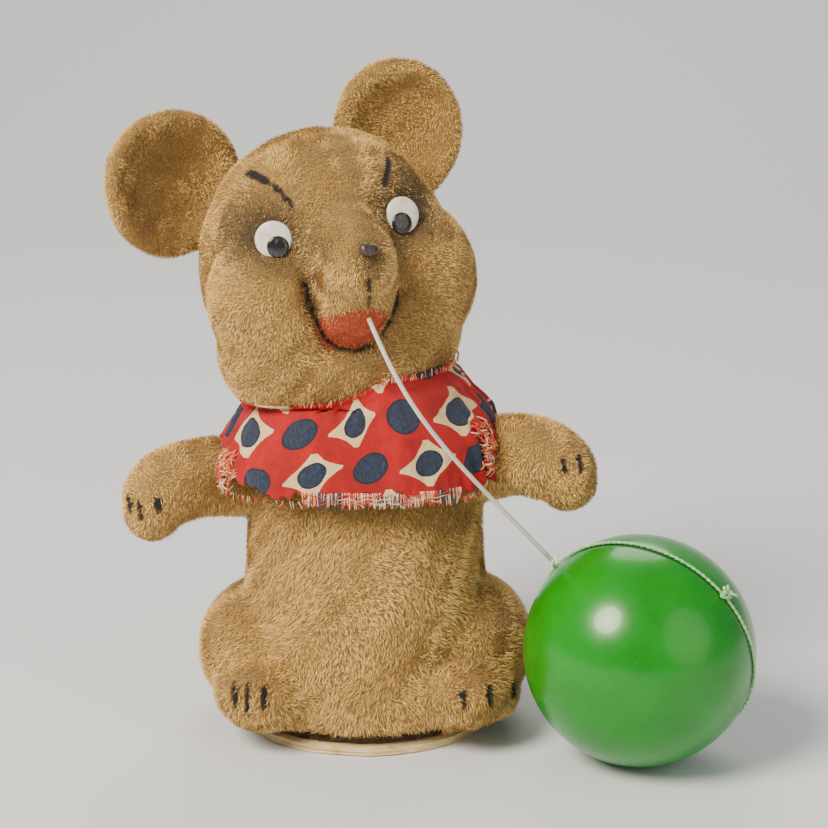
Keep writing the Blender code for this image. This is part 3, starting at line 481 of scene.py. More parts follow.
def head_skin():
    """The skin is made about the head's own middle and then set in place."""
    bm = bmesh.new()
    ellipsoid_part(bm, (1.1, 1.0, -0.6), (24.8, 22.5, 25.6))
    ellipsoid_part(bm, (0.9, 0.0, 8.0), (21.3, 20.0, 17.8))
    ellipsoid_part(bm, (0, -5.0, 8.5), (20.0, 14.5, 14.5))
    for side in (1, -1):
        ellipsoid_part(bm, (1.2 + 13.0 * side, -8.0, -3.5), (13.3, 12.6, 15.0))
        ellipsoid_part(bm, (-0.2 + 10.8 * side, -5.0, -13.5), (13.2, 13.4, 13.0))
    ellipsoid_part(bm, (-0.4, -2.0, -17.5), (22.0, 18.0, 12.0))
    lean = Matrix.Rotation(math.radians(14), 4, "X")
    ellipsoid_part(bm, (0.0, -17.0, 2.0), (9.2, 12.6, 12.8), lean)
    ellipsoid_part(bm, (0.0, -24.0, 4.0), (7.2, 9.2, 7.6))
    for x, y, z, radius, tip in ((-25.2, 8.6, 20.5, 13.5, 0.10), (21.6, 8.6, 22.3, 12.5, -0.06)):
        ear_part(bm, x, y, z, radius, tip)
    ob = remeshed("head_skin", bm, 0.8, 10)
    co = vertex_array(ob) / MM + normal_array(ob) * 0.3
    shape_face(co, normal_array(ob))
    write_vertices(ob, co * MM)
    ob.data.transform(HEAD_PLACE)
    co = vertex_array(ob)
    floor = HEAD_FLOOR * MM
    low = co[:, 2] < floor
    co[low, 2] = floor + (co[low, 2] - floor) * 0.08
    write_vertices(ob, co)
    return ob


def ear_part(bm, x, y, z, radius, tip):
    """A round ear, thick at the rim and dished on its front."""
    profile = [
        (0.0, 1.9), (0.35, 1.6), (0.62, 0.6), (0.80, -1.3), (0.91, -2.2), (0.99, -1.4),
        (1.01, 0.4), (0.95, 1.8), (0.75, 3.0), (0.4, 3.8), (0.0, 4.0),
    ]
    count = 56
    rows = []
    for share, depth in profile:
        row = []
        for i in range(count if share else 1):
            a = 2 * math.pi * i / count
            wobble = 1.0 + 0.03 * math.sin(2 * a + tip * 9) + 0.015 * math.sin(3 * a + 1.0)
            reach = radius * share * wobble
            across = x + reach * math.cos(a)
            back = y + depth + tip * radius * share * math.cos(a) * 3
            above = z + reach * math.sin(a) * (1.05 if x < 0 else 1.14)
            row.append(bm.verts.new(Vector((across, back, above)) * MM))
        rows.append(row)
    for face in loft(rows):
        bm.faces.new(face)


def line_distance(points, path):
    """Distance in the X-Z plane from each point to a broken line."""
    best = np.full(len(points), 1e9)
    flat = points[:, [0, 2]]
    for a, b in zip(path, path[1:]):
        a = np.array(a, float)
        b = np.array(b, float)
        along = b - a
        share = np.clip(((flat - a) @ along) / max(along @ along, 1e-9), 0, 1)
        near = a + share[:, None] * along
        best = np.minimum(best, np.linalg.norm(flat - near, axis=1))
    return best


# The face lies in front of this depth, and the ears beyond this reach, about the head's middle
FACE_FRONT = -4
EAR_REACH = 27.5
# Features of the face, as (x, z) in millimetres about the head's middle, seen from its front
EYES = [(-12.6, 9.7), (12.3, 9.6)]
SMILE_LEFT = [
    (-8.7, 0.7), (-8.5, -3.0), (-7.6, -7.5), (-6.4, -10.4), (-4.0, -12.8), (-1.0, -13.8),
    (1.8, -13.6),
]
SMILE_RIGHT = [(8.8, -4.0), (7.8, -7.2), (6.5, -9.7), (4.7, -11.9)]
CREASE_LEFT = [(-8.2, 6.0), (-8.7, 0.7), (-8.2, -4.7)]
PHILTRUM = [[(-0.2, 1.7), (-0.1, -0.4)], [(0.0, -1.6), (0.0, -3.7)]]
BROW_LEFT = [(-12.6, 21.2), (-11.2, 20.2), (-9.7, 18.3), (-8.2, 15.2)]
BROW_RIGHT = [(13.2, 19.6), (11.6, 17.7), (10.2, 16.0)]
MOUTH_PATCH = ((-1.5, -8.9), (6.6, 4.3))


def shape_face(co, normals):
    """Presses the eye sockets, the creases beside the muzzle and the mouth into the skin."""
    front = np.clip((-co[:, 1] - 4.0) / 6.0, 0, 1)
    for x, z in EYES:
        gap = np.hypot(co[:, 0] - x, co[:, 2] - z)
        push = 1.2 * np.exp(-((gap / 5.0) ** 2)) * front
        co[:, 1] += push
    for path, depth, width in (
        (SMILE_LEFT, 1.5, 1.15),
        (SMILE_RIGHT, 1.4, 1.15),
        (CREASE_LEFT, 1.6, 1.5),
    ):
        push = depth * np.exp(-((line_distance(co, path) / width) ** 2)) * front
        co -= normals * push[:, None]
    ridge = 0.9 * np.exp(-(((co[:, 1] - 1.5) / 1.7) ** 2))
    crown = np.clip((co[:, 2] - 2.0) / 8.0, 0, 1)
    inside = np.hypot(co[:, 0], co[:, 2]) < EAR_REACH
    co += normals * (ridge * crown * inside)[:, None]


# ---------------------------------------------------------------- fur


def triangles_of(ob):
    mesh = ob.data
    mesh.calc_loop_triangles()
    tri = np.empty(len(mesh.loop_triangles) * 3, int)
    mesh.loop_triangles.foreach_get("vertices", tri)
    return tri.reshape(-1, 3)


def unit(v):
    return v / np.maximum(np.linalg.norm(v, axis=1), 1e-12)[:, None]


def swirl(p, scale, seed):
    """A smooth wandering vector for each point."""
    q = p / MM * scale
    out = np.empty_like(q)
    for k in range(3):
        a = q @ np.array([0.9, 0.55 + 0.2 * k, -0.7]) + 1.7 * k + seed
        b = q @ np.array([-0.45, 0.8, 0.65 + 0.15 * k]) + 4.1 * k - seed
        c = q @ np.array([0.6 + 0.25 * k, -0.35, 0.9]) * 1.9 + 2.3 * k
        out[:, k] = np.sin(a) + 0.8 * np.sin(b) + 0.5 * np.sin(c)
    return out


FIBRE_POINTS = 5
FIBRE_CORNERS = 7


def grow(ob, name, per_mm2, length, width, seed, body, classify, comb):
    """Plants fine tapering fibres over a skin, one object for each colour class."""
    rng = np.random.default_rng(seed)
    co = vertex_array(ob)
    no = normal_array(ob)
    tri = triangles_of(ob)
    a, b, c = co[tri[:, 0]], co[tri[:, 1]], co[tri[:, 2]]
    area = np.linalg.norm(np.cross(b - a, c - a), axis=1) / 2 / MM**2
    total = int(area.sum() * per_mm2 * (1.0))
    pick = np.searchsorted(np.cumsum(area), rng.random(total) * area.sum())
    pick = np.minimum(pick, len(tri) - 1)
    u = rng.random(total)
    v = rng.random(total)
    fold = u + v > 1
    u[fold], v[fold] = 1 - u[fold], 1 - v[fold]
    w = 1 - u - v
    root = a[pick] * w[:, None] + b[pick] * u[:, None] + c[pick] * v[:, None]
    t = tri[pick]
    normal = unit(no[t[:, 0]] * w[:, None] + no[t[:, 1]] * u[:, None] + no[t[:, 2]] * v[:, None])
    kind, reach = classify(root, normal, rng)
    keep = kind >= 0
    root, normal, kind, reach = root[keep], normal[keep], kind[keep], reach[keep]
    total = len(root)
    flow = comb(root) + 0.55 * swirl(root, 0.28, seed) + 0.35 * swirl(root, 0.9, seed + 5)
    flow += rng.normal(0, 0.42, (total, 3))
    flow -= normal * np.sum(flow * normal, axis=1)[:, None]
    flow = unit(flow)
    size = length * MM * reach * rng.uniform(0.65, 1.25, total)
    size = size[:, None]
    side = unit(np.cross(normal, flow + rng.normal(0, 0.25, (total, 3))))
    half = (width * MM / 2) * rng.uniform(0.7, 1.3, total)[:, None]
    sunk = root - normal * 0.15 * MM
    mid = root + normal * size * 0.42 + flow * size * 0.30
    tip = root + normal * size * 0.66 + flow * size * 0.80
    waist = side * half * 0.75
    verts = np.stack([sunk - side * half, sunk + side * half, mid + waist, mid - waist, tip], 1)
    for index, (label, mat) in enumerate(PILE):
        chosen = verts[kind == index]
        if len(chosen) == 0:
            continue
        count = len(chosen)
        mesh = bpy.data.meshes.new(f"{name}_{label}")
        mesh.vertices.add(count * FIBRE_POINTS)
        mesh.vertices.foreach_set("co", chosen.ravel())
        base = (np.arange(count) * FIBRE_POINTS)[:, None]
        loops = np.concatenate([base + np.array([[0, 1, 2, 3]]), base + np.array([[3, 2, 4]])], 1)
        mesh.loops.add(count * FIBRE_CORNERS)
        mesh.loops.foreach_set("vertex_index", loops.ravel())
        mesh.polygons.add(count * 2)
        first = np.arange(count) * FIBRE_CORNERS
        starts = np.stack([first, first + 4], 1)
        mesh.polygons.foreach_set("loop_start", starts.ravel())
        mesh.update(calc_edges=True)
        mesh.shade_smooth()
        fur = new_object(f"{name}_{label}", mesh, [mat])
        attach(fur, body)


def pile_mat(name, colour):
    return Look(name, colour, Roughness=0.75, Sheen_Weight=0.15, Sheen_Roughness=0.5).mat


PILE = [
    ("pale", pile_mat("pile_pale", (0.95, 0.66, 0.24))),
    ("light", pile_mat("pile_light", (0.78, 0.48, 0.13))),
    ("mid", pile_mat("pile_mid", (0.58, 0.33, 0.08))),
    ("deep", pile_mat("pile_deep", (0.29, 0.155, 0.036))),
    # the darkest brown class is the smoke round the eyes and nose, and also the painted shade along the
    # face's left crease
    ("smoke", pile_mat("pile_smoke", (0.055, 0.034, 0.017))),
    ("black", pile_mat("pile_black", (0.012, 0.010, 0.009))),
    ("red", pile_mat("pile_red", (0.62, 0.10, 0.035))),
]
PALE, LIGHT, MIDTONE, DEEP, SMOKE_AND_SHADE, BLACK, RED = range(7)


def tan_mix(rng, total, shares):
    """A colour class for each fibre, the first classes by their shares and the rest pale."""
    draw = rng.random(total)
    kind = np.full(total, PALE)
    edge = 0.0
    for index, share in enumerate(shares):
        kind[(draw >= edge) & (draw < edge + share)] = index
        edge += share
    return kind


def mottle(root, scale, seed):
    """A soft patchiness from 0 to 1."""
    s = swirl(root, scale, seed)
    return 0.5 + 0.22 * (s[:, 0] + 0.6 * s[:, 1])


# Claws and fingers are short dark strokes in front of this depth: from and to as (x, z), in millimetres
CLAW_FRONT = -9
CLAWS = [
    ((-25.0, 14.6), (-24.6, 11.8)), ((-22.4, 14.6), (-22.2, 11.0)), ((-19.1, 14.8), (-19.0, 11.8)),
    ((19.0, 14.2), (19.3, 11.8)), ((24.1, 14.6), (24.6, 11.8)), ((28.8, 12.6), (29.0, 10.4)),
    ((-45.6, 49.6), (-45.3, 47.2)), ((-43.6, 48.6), (-43.2, 46.0)), ((-40.0, 50.0), (-39.8, 47.6)),
    ((38.6, 57.4), (38.9, 55.4)), ((41.6, 57.8), (42.1, 55.2)),
]


def body_pile(root, normal, rng):
    """The colour class and relative length of each fibre on the body."""
    p = root / MM
    total = len(root)
    kind = tan_mix(rng, total, (0.26, 0.40, 0.24, 0.10))
    patch = mottle(root, 0.12, 2.0)
    darker = (rng.random(total) < np.clip(patch - 0.6, 0, 1) * 1.1) & (kind < DEEP)
    kind[darker] += 1
    low = (p[:, 2] < 9) & (rng.random(total) < np.clip((9 - p[:, 2]) / 12, 0, 1))
    kind[low & (kind < DEEP)] += 1
    front = p[:, 1] < CLAW_FRONT
    for a, b in CLAWS:
        near = line_distance(p, [a, b]) < 0.5
        kind[near & front & (normal[:, 1] < 0.1)] = BLACK
    reach = np.ones(total)
    arm = np.clip((np.abs(p[:, 0]) - 27) / 8, 0, 1) * (p[:, 2] > 38)
    reach -= 0.38 * arm
    under_vest = (p[:, 2] > 53.5) & (np.abs(p[:, 0]) < 21)
    sole = p[:, 2] < 2.3
    torn = (p[:, 1] < TORN_BACK) & (np.abs(p[:, 0] - TORN_MID) < TORN_HALF - 0.5)
    torn &= p[:, 2] < TORN_TOP + 0.3
    kind[under_vest | sole | torn] = -1
    return kind, reach


def head_local(root):
    """Places given about the head's middle, in millimetres."""
    m = np.array(HEAD_BACK)
    return (root @ m[:3, :3].T + m[:3, 3]) / MM


STROKES = [
    (SMILE_LEFT, 0.42), (SMILE_RIGHT, 0.38), (BROW_RIGHT, 0.62), (BROW_LEFT, 0.45),
    (BROW_LEFT[:2], 0.85), (PHILTRUM[0], 0.36), (PHILTRUM[1], 0.36),
]


def face_marks(p):
    """How strongly smoke and painted shade, red and black lie on each place of the face, given about its
    middle.
    """
    front = p[:, 1] < FACE_FRONT
    smoke = np.zeros(len(p))
    for (x, z), side in zip(EYES, (-1, 1)):
        gap = np.hypot((p[:, 0] - x - 1.1 * side) / 1.2, (p[:, 2] - z - 1.0) / 1.1)
        smoke = np.maximum(smoke, np.clip(1.5 - gap / 5.7, 0, 1))
    tip = np.hypot(p[:, 0] - 0.6, (p[:, 2] - 5.6) / 1.1)
    smoke = np.maximum(smoke, np.clip(1.0 - tip / 4.2, 0, 0.75) * (p[:, 1] < -26))
    # a darker band along the left crease and smile line: painted shade in the groove
    crease_shade = np.clip(1.0 - line_distance(p, CREASE_LEFT + SMILE_LEFT) / 2.6, 0, 1) * 0.55
    smoke = np.maximum(smoke, crease_shade) * front
    (mid_x, mid_z), (half_x, half_z) = MOUTH_PATCH
    away = np.hypot((p[:, 0] - mid_x) / half_x, (p[:, 2] - mid_z) / half_z)
    red = np.clip(2.6 - 2.2 * away, 0, 1) * front
    black = np.zeros(len(p), bool)
    for path, width in STROKES:
        black |= front & (line_distance(p, path) < width)
    return smoke, red, black


def head_pile(root, normal, rng):
    """The colour class and relative length of each fibre on the head."""
    p = head_local(root)
    total = len(root)
    kind = tan_mix(rng, total, (0.24, 0.38, 0.27, 0.11))
    reach = np.full(total, 0.6)
    ear = np.hypot(p[:, 0], p[:, 2]) > EAR_REACH
    forward = np.array(HEAD_TURN.to_3x3() @ Vector((0, -1, 0)))
    # random patches of darker fibres, and more of them on the ears' dished fronts as painted shade in their
    # hollows
    dish = ear & (normal @ forward > 0.6)
    patch = mottle(root, 0.16, 5.0)
    darker = (rng.random(total) < np.clip(patch - 0.45, 0, 1) + 0.25 * dish) & (kind < DEEP)
    kind[darker] += 1
    smoke, red, black = face_marks(p)
    # dark fibres for the smoke round the eyes and nose, and for the painted shade along the left crease
    shaded = rng.random(total) < smoke * 0.9
    kind[shaded] = np.where(rng.random(shaded.sum()) < 0.7, SMOKE_AND_SHADE, DEEP)
    reach[smoke > 0.3] = 0.42
    for x, z in EYES:
        near = np.hypot(p[:, 0] - x, p[:, 2] - z)
        kind[(p[:, 1] < FACE_FRONT) & (near < 3.0)] = -1
    mouth = rng.random(total) < red * 0.97
    kind[mouth] = RED
    reach[red > 0.2] = 0.34
    beside = np.zeros(total, bool)
    for path, width in STROKES:
        beside |= (p[:, 1] < FACE_FRONT) & (line_distance(p, path) < width + 0.9)
    reach[beside] = 0.34
    kind[black] = BLACK
    reach[black] = 0.45
    kind[root[:, 2] < (HEAD_FLOOR + 0.4) * MM] = -1
    return kind, reach


def paint_marks(ob, kind):
    """Stains the backing under the pile so that no pale skin shows between dark fibres; the dark stain also
    carries the painted shade along the face's left crease.
    """
    co = vertex_array(ob)
    colour = np.zeros((len(co), 4), np.float32)
    if kind == "head":
        smoke, red, black = face_marks(head_local(co))
        # dark backing for the smoke round the eyes, and painted shade along the left crease
        colour[:, :3] = (0.05, 0.032, 0.016)
        colour[:, 3] = smoke * 0.85
        colour[red > 0.25] = (0.42, 0.055, 0.02, 0.95)
        colour[black] = (0.012, 0.01, 0.009, 1.0)
    else:
        for a, b in CLAWS:
            near = (line_distance(co / MM, [a, b]) < 0.6) & (co[:, 1] < CLAW_FRONT * MM)
            colour[near] = (0.012, 0.01, 0.009, 1.0)
    layer = ob.data.attributes.new("paint", "FLOAT_COLOR", "POINT")
    layer.data.foreach_set("color", colour.ravel())


def comb_down(root):
    """The body's pile lies downwards and a little outwards."""
    p = root / MM
    flow = np.zeros_like(root)
    flow[:, 2] = -1.0
    flow[:, 0] = p[:, 0] * 0.012
    flow[:, 1] = -0.25
    return flow


def comb_head(root):
    """The head's pile lies loosely downwards, parted from the middle."""
    p = head_local(root)
    flow = np.zeros_like(root)
    flow[:, 0] = p[:, 0] * 0.03
    flow[:, 2] = -0.55
    return flow


# ---------------------------------------------------------------- build


def under_look(name, dark, light):
    """The backing that the pile stands on, seen between the fibres."""
    look = Look(name, dark, Roughness=0.95)
    blotch = look.noise(240, 6, 0.7)
    fine = look.noise(1500, 4, 0.7)
    tone = look.times_plus(fine, 0.45, look.times(blotch, 0.55))
    base = look.mix(look.ramp(tone, (0.3, 0.0), (0.7, 1.0)), dark, light)
    paint = look.node("ShaderNodeAttribute")
    paint.attribute_name = "paint"
    look.colour(look.mix(paint.outputs["Alpha"], base, paint.outputs["Color"]))
    look.bump(fine, 0.8, 0.5)
    return look.mat


backing = under_look("flock_backing", (0.16, 0.085, 0.022), (0.40, 0.24, 0.07))

torso = body_skin()
torso.data.materials.append(backing)
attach(torso, "body")
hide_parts("torso_front_shell", "torso_back_shell")
head = head_skin()
head.data.materials.append(backing)
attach(head, "head")
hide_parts("head_front_shell", "head_back_shell")
paint_marks(torso, "body")
paint_marks(head, "head")
grow(torso, "body_pile", 11.0, 1.15, 0.12, 11, "body", body_pile, comb_down)
grow(head, "head_pile", 15.0, 1.2, 0.11, 23, "head", head_pile, comb_head)


def build_line():
    """The nylon line, hanging in a curve between head and ball."""
    route = line_route()
    look = Look("nylon_look", (0.86, 0.82, 0.72), Roughness=0.28, Transmission_Weight=0.35, IOR=1.5)
    streak = look.noise(1.0, 3, 0.6, look.coords(scale=(700, 700, 120)))
    look.colour(look.ramp(streak, (0.35, (0.78, 0.74, 0.64)), (0.7, (0.93, 0.9, 0.82))))
    look.bump(streak, 0.15, 0.05)
    verts = []
    faces = []
    tube_into(verts, faces, route, LINE_DIAMETER / 2, 12, Vector((0, 0, 1)))
    ob = mesh_from("hanging_line", verts, faces, [look.mat])
    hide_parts("nylon_line")
    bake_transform(ob)


build_line()


# ---------------------------------------------------------------- eyes and nose


def tree_of(ob):
    bpy.context.view_layer.update()
    return BVHTree.FromObject(ob, bpy.context.evaluated_depsgraph_get())


HEAD_TREE = tree_of(head)
FORWARD = (HEAD_TURN @ Vector((0, -1, 0))).normalized()


def on_face(x, z):
    """The point and outward direction of the face at a place given about the head's middle."""
    start = HEAD_PLACE @ (Vector((x, -60, z)) * MM)
    point, normal, _, _ = HEAD_TREE.ray_cast(start, -FORWARD)
    return point, normal.normalized()


def aimed(point, outward):
    return Matrix.Translation(point) @ outward.to_track_quat("Z", "Y").to_matrix().to_4x4()


def lathe(name, profile, mat, place, count=64):
    """A turned piece from (radius, height) in millimetres, closed where the radius is 0."""
    verts = []
    rows = []
    for radius, height in profile:
        row = []
        for k in range(count if radius > 1e-6 else 1):
            a = 2 * math.pi * k / count
            row.append(len(verts))
            verts.append(place @ (Vector((radius * math.cos(a), radius * math.sin(a), height)) * MM))
        rows.append(row)
    ob = mesh_from(name, verts, loft(rows), [mat])
    bm = bmesh.new()
    bm.from_mesh(ob.data)
    bmesh.ops.recalc_face_normals(bm, faces=bm.faces)
    bm.to_mesh(ob.data)
    bm.free()
    return ob


def build_eyes():
    white = Look("eye_enamel", (0.80, 0.77, 0.68), Roughness=0.32, Coat_Weight=0.3)
    stain = white.noise(420, 5, 0.65)
    tones = ((0.32, (0.60, 0.50, 0.36)), (0.5, (0.80, 0.76, 0.66)), (0.8, (0.88, 0.86, 0.80)))
    white.colour(white.ramp(stain, *tones))
    white.rough(white.times_plus(stain, 0.3, 0.2))
    white.bump(white.noise(1400, 3), 0.12, 0.05)
    black = Look("pupil_enamel", (0.012, 0.011, 0.012), Roughness=0.22, Coat_Weight=0.5)
    scratch = black.noise(1.0, 4, 0.7, black.coords(scale=(2600, 900, 700)))
    black.colour(black.ramp(scratch, (0.56, (0.010, 0.009, 0.010)), (0.66, (0.16, 0.12, 0.07))))
    black.bump(scratch, 0.3, 0.05)
    for name, (x, z) in zip(("left", "right"), EYES):
        point, normal = on_face(x, z)
        outward = (normal + FORWARD * 1.4).normalized()
        disc = [
            (0, -0.5), (3.2, -0.5), (3.45, -0.1), (3.5, 0.35), (3.38, 0.62), (3.1, 0.74),
            (2.2, 0.84), (1.2, 0.9), (0, 0.92),
        ]
        seat = aimed(point + outward * 0.75 * MM, outward)
        eye = lathe(f"eye_disc_{name}", disc, white.mat, seat)
        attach(eye, "head")
        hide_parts(f"eye_white_{name}")
        low = HEAD_TURN @ Vector((0.6 if x < 0 else -0.75, 0, -1.5)) * MM
        middle = seat.translation + low - outward * low.dot(outward)
        drop = [(0, 0.45), (1.95, 0.45), (2.1, 0.8), (2.05, 1.05), (1.8, 1.2), (1.0, 1.32), (0, 1.36)]
        pupil = lathe(f"pupil_disc_{name}", drop, black.mat, aimed(middle, outward), 48)
        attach(pupil, "head")
        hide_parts(f"pupil_{name}")


def build_nose():
    look = Look("nose_lacquer", (0.02, 0.013, 0.010), Roughness=0.25, Coat_Weight=0.4)
    lump = look.noise(900, 4, 0.6)
    look.colour(look.ramp(lump, (0.4, (0.012, 0.009, 0.008)), (0.75, (0.09, 0.05, 0.03))))
    look.rough(look.times_plus(lump, 0.4, 0.3))
    look.bump(lump, 0.5, 0.2)
    point, normal = on_face(0.45, 7.0)
    bm = bmesh.new()
    ellipsoid_part(bm, (-0.55, 0.12, 0), (1.15, 1.35, 0.95), segments=24)
    ellipsoid_part(bm, (0.6, -0.1, 0.05), (1.15, 1.2, 0.95), segments=24)
    ellipsoid_part(bm, (0.05, -0.65, 0.0), (0.8, 0.75, 0.85), segments=20)
    ob = remeshed("nose_knob", bm, 0.14, 3)
    ob.data.transform(aimed(point + normal * 0.55 * MM, normal))
    ob.data.materials.append(look.mat)
    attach(ob, "head")
    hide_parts("nose_bead")


build_eyes()
build_nose()


# ---------------------------------------------------------------- strands


def strands(name, items, mats, body, sides=5):
    """Many thin threads in one mesh, each item a (route, radius, material number) in metres."""
    verts = []
    faces = []
    slots = []
    for route, radius, number in items:
        before = len(faces)
        tube_into(verts, faces, route, radius, sides, Vector((0.1, 0.2, 1)).normalized())
        slots += [number] * (len(faces) - before)
    ob = mesh_from(name, verts, faces, mats)
    ob.data.polygons.foreach_set("material_index", slots)
    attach(ob, body)
    return ob


# ---------------------------------------------------------------- vest

VEST_MID = Vector((-1.6, -0.6, 0)) * MM
# height, half width, half depth, squareness and sideways middle of the cloth, in millimetres
VEST_ROWS = [
    (48.0, 28.0, 25.0, 2.7, 0.1),
    (53.0, 28.0, 24.8, 2.7, 0.1),
    (56.5, 27.8, 24.4, 2.7, 0.2),
    (60.5, 26.5, 23.7, 2.6, 1.2),
    (64.6, 24.6, 22.2, 2.4, 1.7),
    (68.8, 21.0, 20.6, 2.1, 1.7),
    (73.0, 18.6, 18.8, 2.0, 1.7),
    (78.0, 17.0, 17.0, 2.0, 1.7),
]
VEST_COLUMNS = 300
VEST_THICKNESS = 0.35
VEST_LINES = 44
# The height at which the cloth is at its printed width
VEST_LEVEL = 57.0
HEM_LOW = 51.3


def vest_row(z):
    heights = [r[0] for r in VEST_ROWS]
    return [float(np.interp(z, heights, [r[k] for r in VEST_ROWS])) for k in (1, 2, 3, 4)]


def vest_spot(angle, z, out=0.0):
    """A point of the cloth at an angle round the neck and a height, both smooth."""
    half_x, half_y, square, mid = vest_row(z)
    c, s = math.cos(angle), math.sin(angle)
    x = (half_x + out) * math.copysign(abs(c) ** (2 / square), c)
    y = (half_y + out) * math.copysign(abs(s) ** (2 / square), s)
    return Vector((x + mid, y, z)) * MM + VEST_MID


def clamped(value):
    return min(max(value, 0.0), 1.0)


def eased(value):
    """A share from 0 to 1 that starts and ends gently."""
    return value * value * (3 - 2 * value)


def head_behind(spot):
    """The axis level with a point of the cloth, the way out to it, and how far out the head's skin is."""
    axis = Vector((VEST_MID.x, VEST_MID.y, spot.z))
    way = spot - axis
    hit = HEAD_TREE.ray_cast(axis, way.normalized())[0]
    return axis, way, None if hit is None else (hit - axis).length


def vest_top(angle):
    """The height at which the cloth meets the underside of the head."""
    z = 66.5
    while z < 75.6:
        _, way, skin = head_behind(vest_spot(angle, z))
        if skin is not None and skin > way.length - 0.2 * MM:
            break
        z += 0.3
    return z


def neck_line():
    """The height of the cloth's neck edge all the way round, smoothed, and lower on the mouse's left."""
    tops = np.array([vest_top(2 * math.pi * i / VEST_COLUMNS) for i in range(VEST_COLUMNS)])
    kernel = np.hanning(19)
    kernel /= kernel.sum()
    tops = np.convolve(np.concatenate([tops[-9:], tops, tops[:9]]), kernel, "valid") + 0.5
    for i in range(VEST_COLUMNS):
        angle = 2 * math.pi * i / VEST_COLUMNS
        x = vest_spot(angle, tops[i]).x / MM
        tops[i] -= 2.4 * clamped((x + 13.0) / 9.0) * (0.5 - 0.5 * math.sin(angle))
    return tops


def hem_height(angle, run, u):
    """A ragged hem, raised along the frayed front and towards both arms."""
    low = HEM_LOW + 0.35 * math.sin(run * 0.9) + 0.3 * math.sin(run * 2.3 + 1.0)
    low += 0.4 * math.sin(3 * angle)
    if FRAY_START < u < FRAY_END:
        low += 1.5 + 0.3 * math.sin(u * 5.0)
    low += 3.2 * eased(clamped((-9.0 - u) / 16.0))
    return low + 1.6 * clamped((u - 16.0) / 10.0)


def cloth_point(angle, u, z, top):
    """A point of the creased cloth, drawn in against the head near its neck edge."""
    near = max(0.0, 1.0 - abs(abs((vest_spot(angle, z).x - VEST_MID.x) / MM) - 27.0) / 9.0)
    fold = noise.noise(Vector((u * 0.16, z * 0.05, 3.0))) * 0.7
    fold += noise.noise(Vector((u * 0.5, z * 0.22, 8.0))) * 0.35
    fold += near * 0.7 * math.sin(u * 1.6 + z * 0.5)
    place = vest_spot(angle, z, fold)
    axis, way, skin = head_behind(place)
    if skin is None or skin >= 34 * MM:
        return place
    reach = skin + 0.45 * MM
    snug = 1.0 if reach > way.length else eased(clamped(1.0 - (top - z) / 4.5))
    return axis + way.normalized() * (way.length + (reach - way.length) * snug)


def limb_distance(p, path):
    """How far a point stands off a limb's surface, in millimetres."""
    best = 1e9
    for a, b in zip(path, path[1:]):
        start, end = Vector(a[:3]), Vector(b[:3])
        along = end - start
        t = min(max((p - start).dot(along) / along.length_squared, 0), 1)
        best = min(best, (p - start - along * t).length - (a[3] + (b[3] - a[3]) * t))
    return best


# The print in millimetres of cloth: its top row, the row and column pitch, and each row's slide
PRINT_TOP = 67.6
PRINT_ROW = 8.5
PRINT_COLUMN = 11.1
PRINT_SHIFT = 6.6
# Millimetres of cloth in one unit of its UV map
UV_SCALE = 100.0
# Where the loose weft starts and ends along the front hem
FRAY_START = -12.0
FRAY_END = 19.0
FRAY_TOP = 53.7


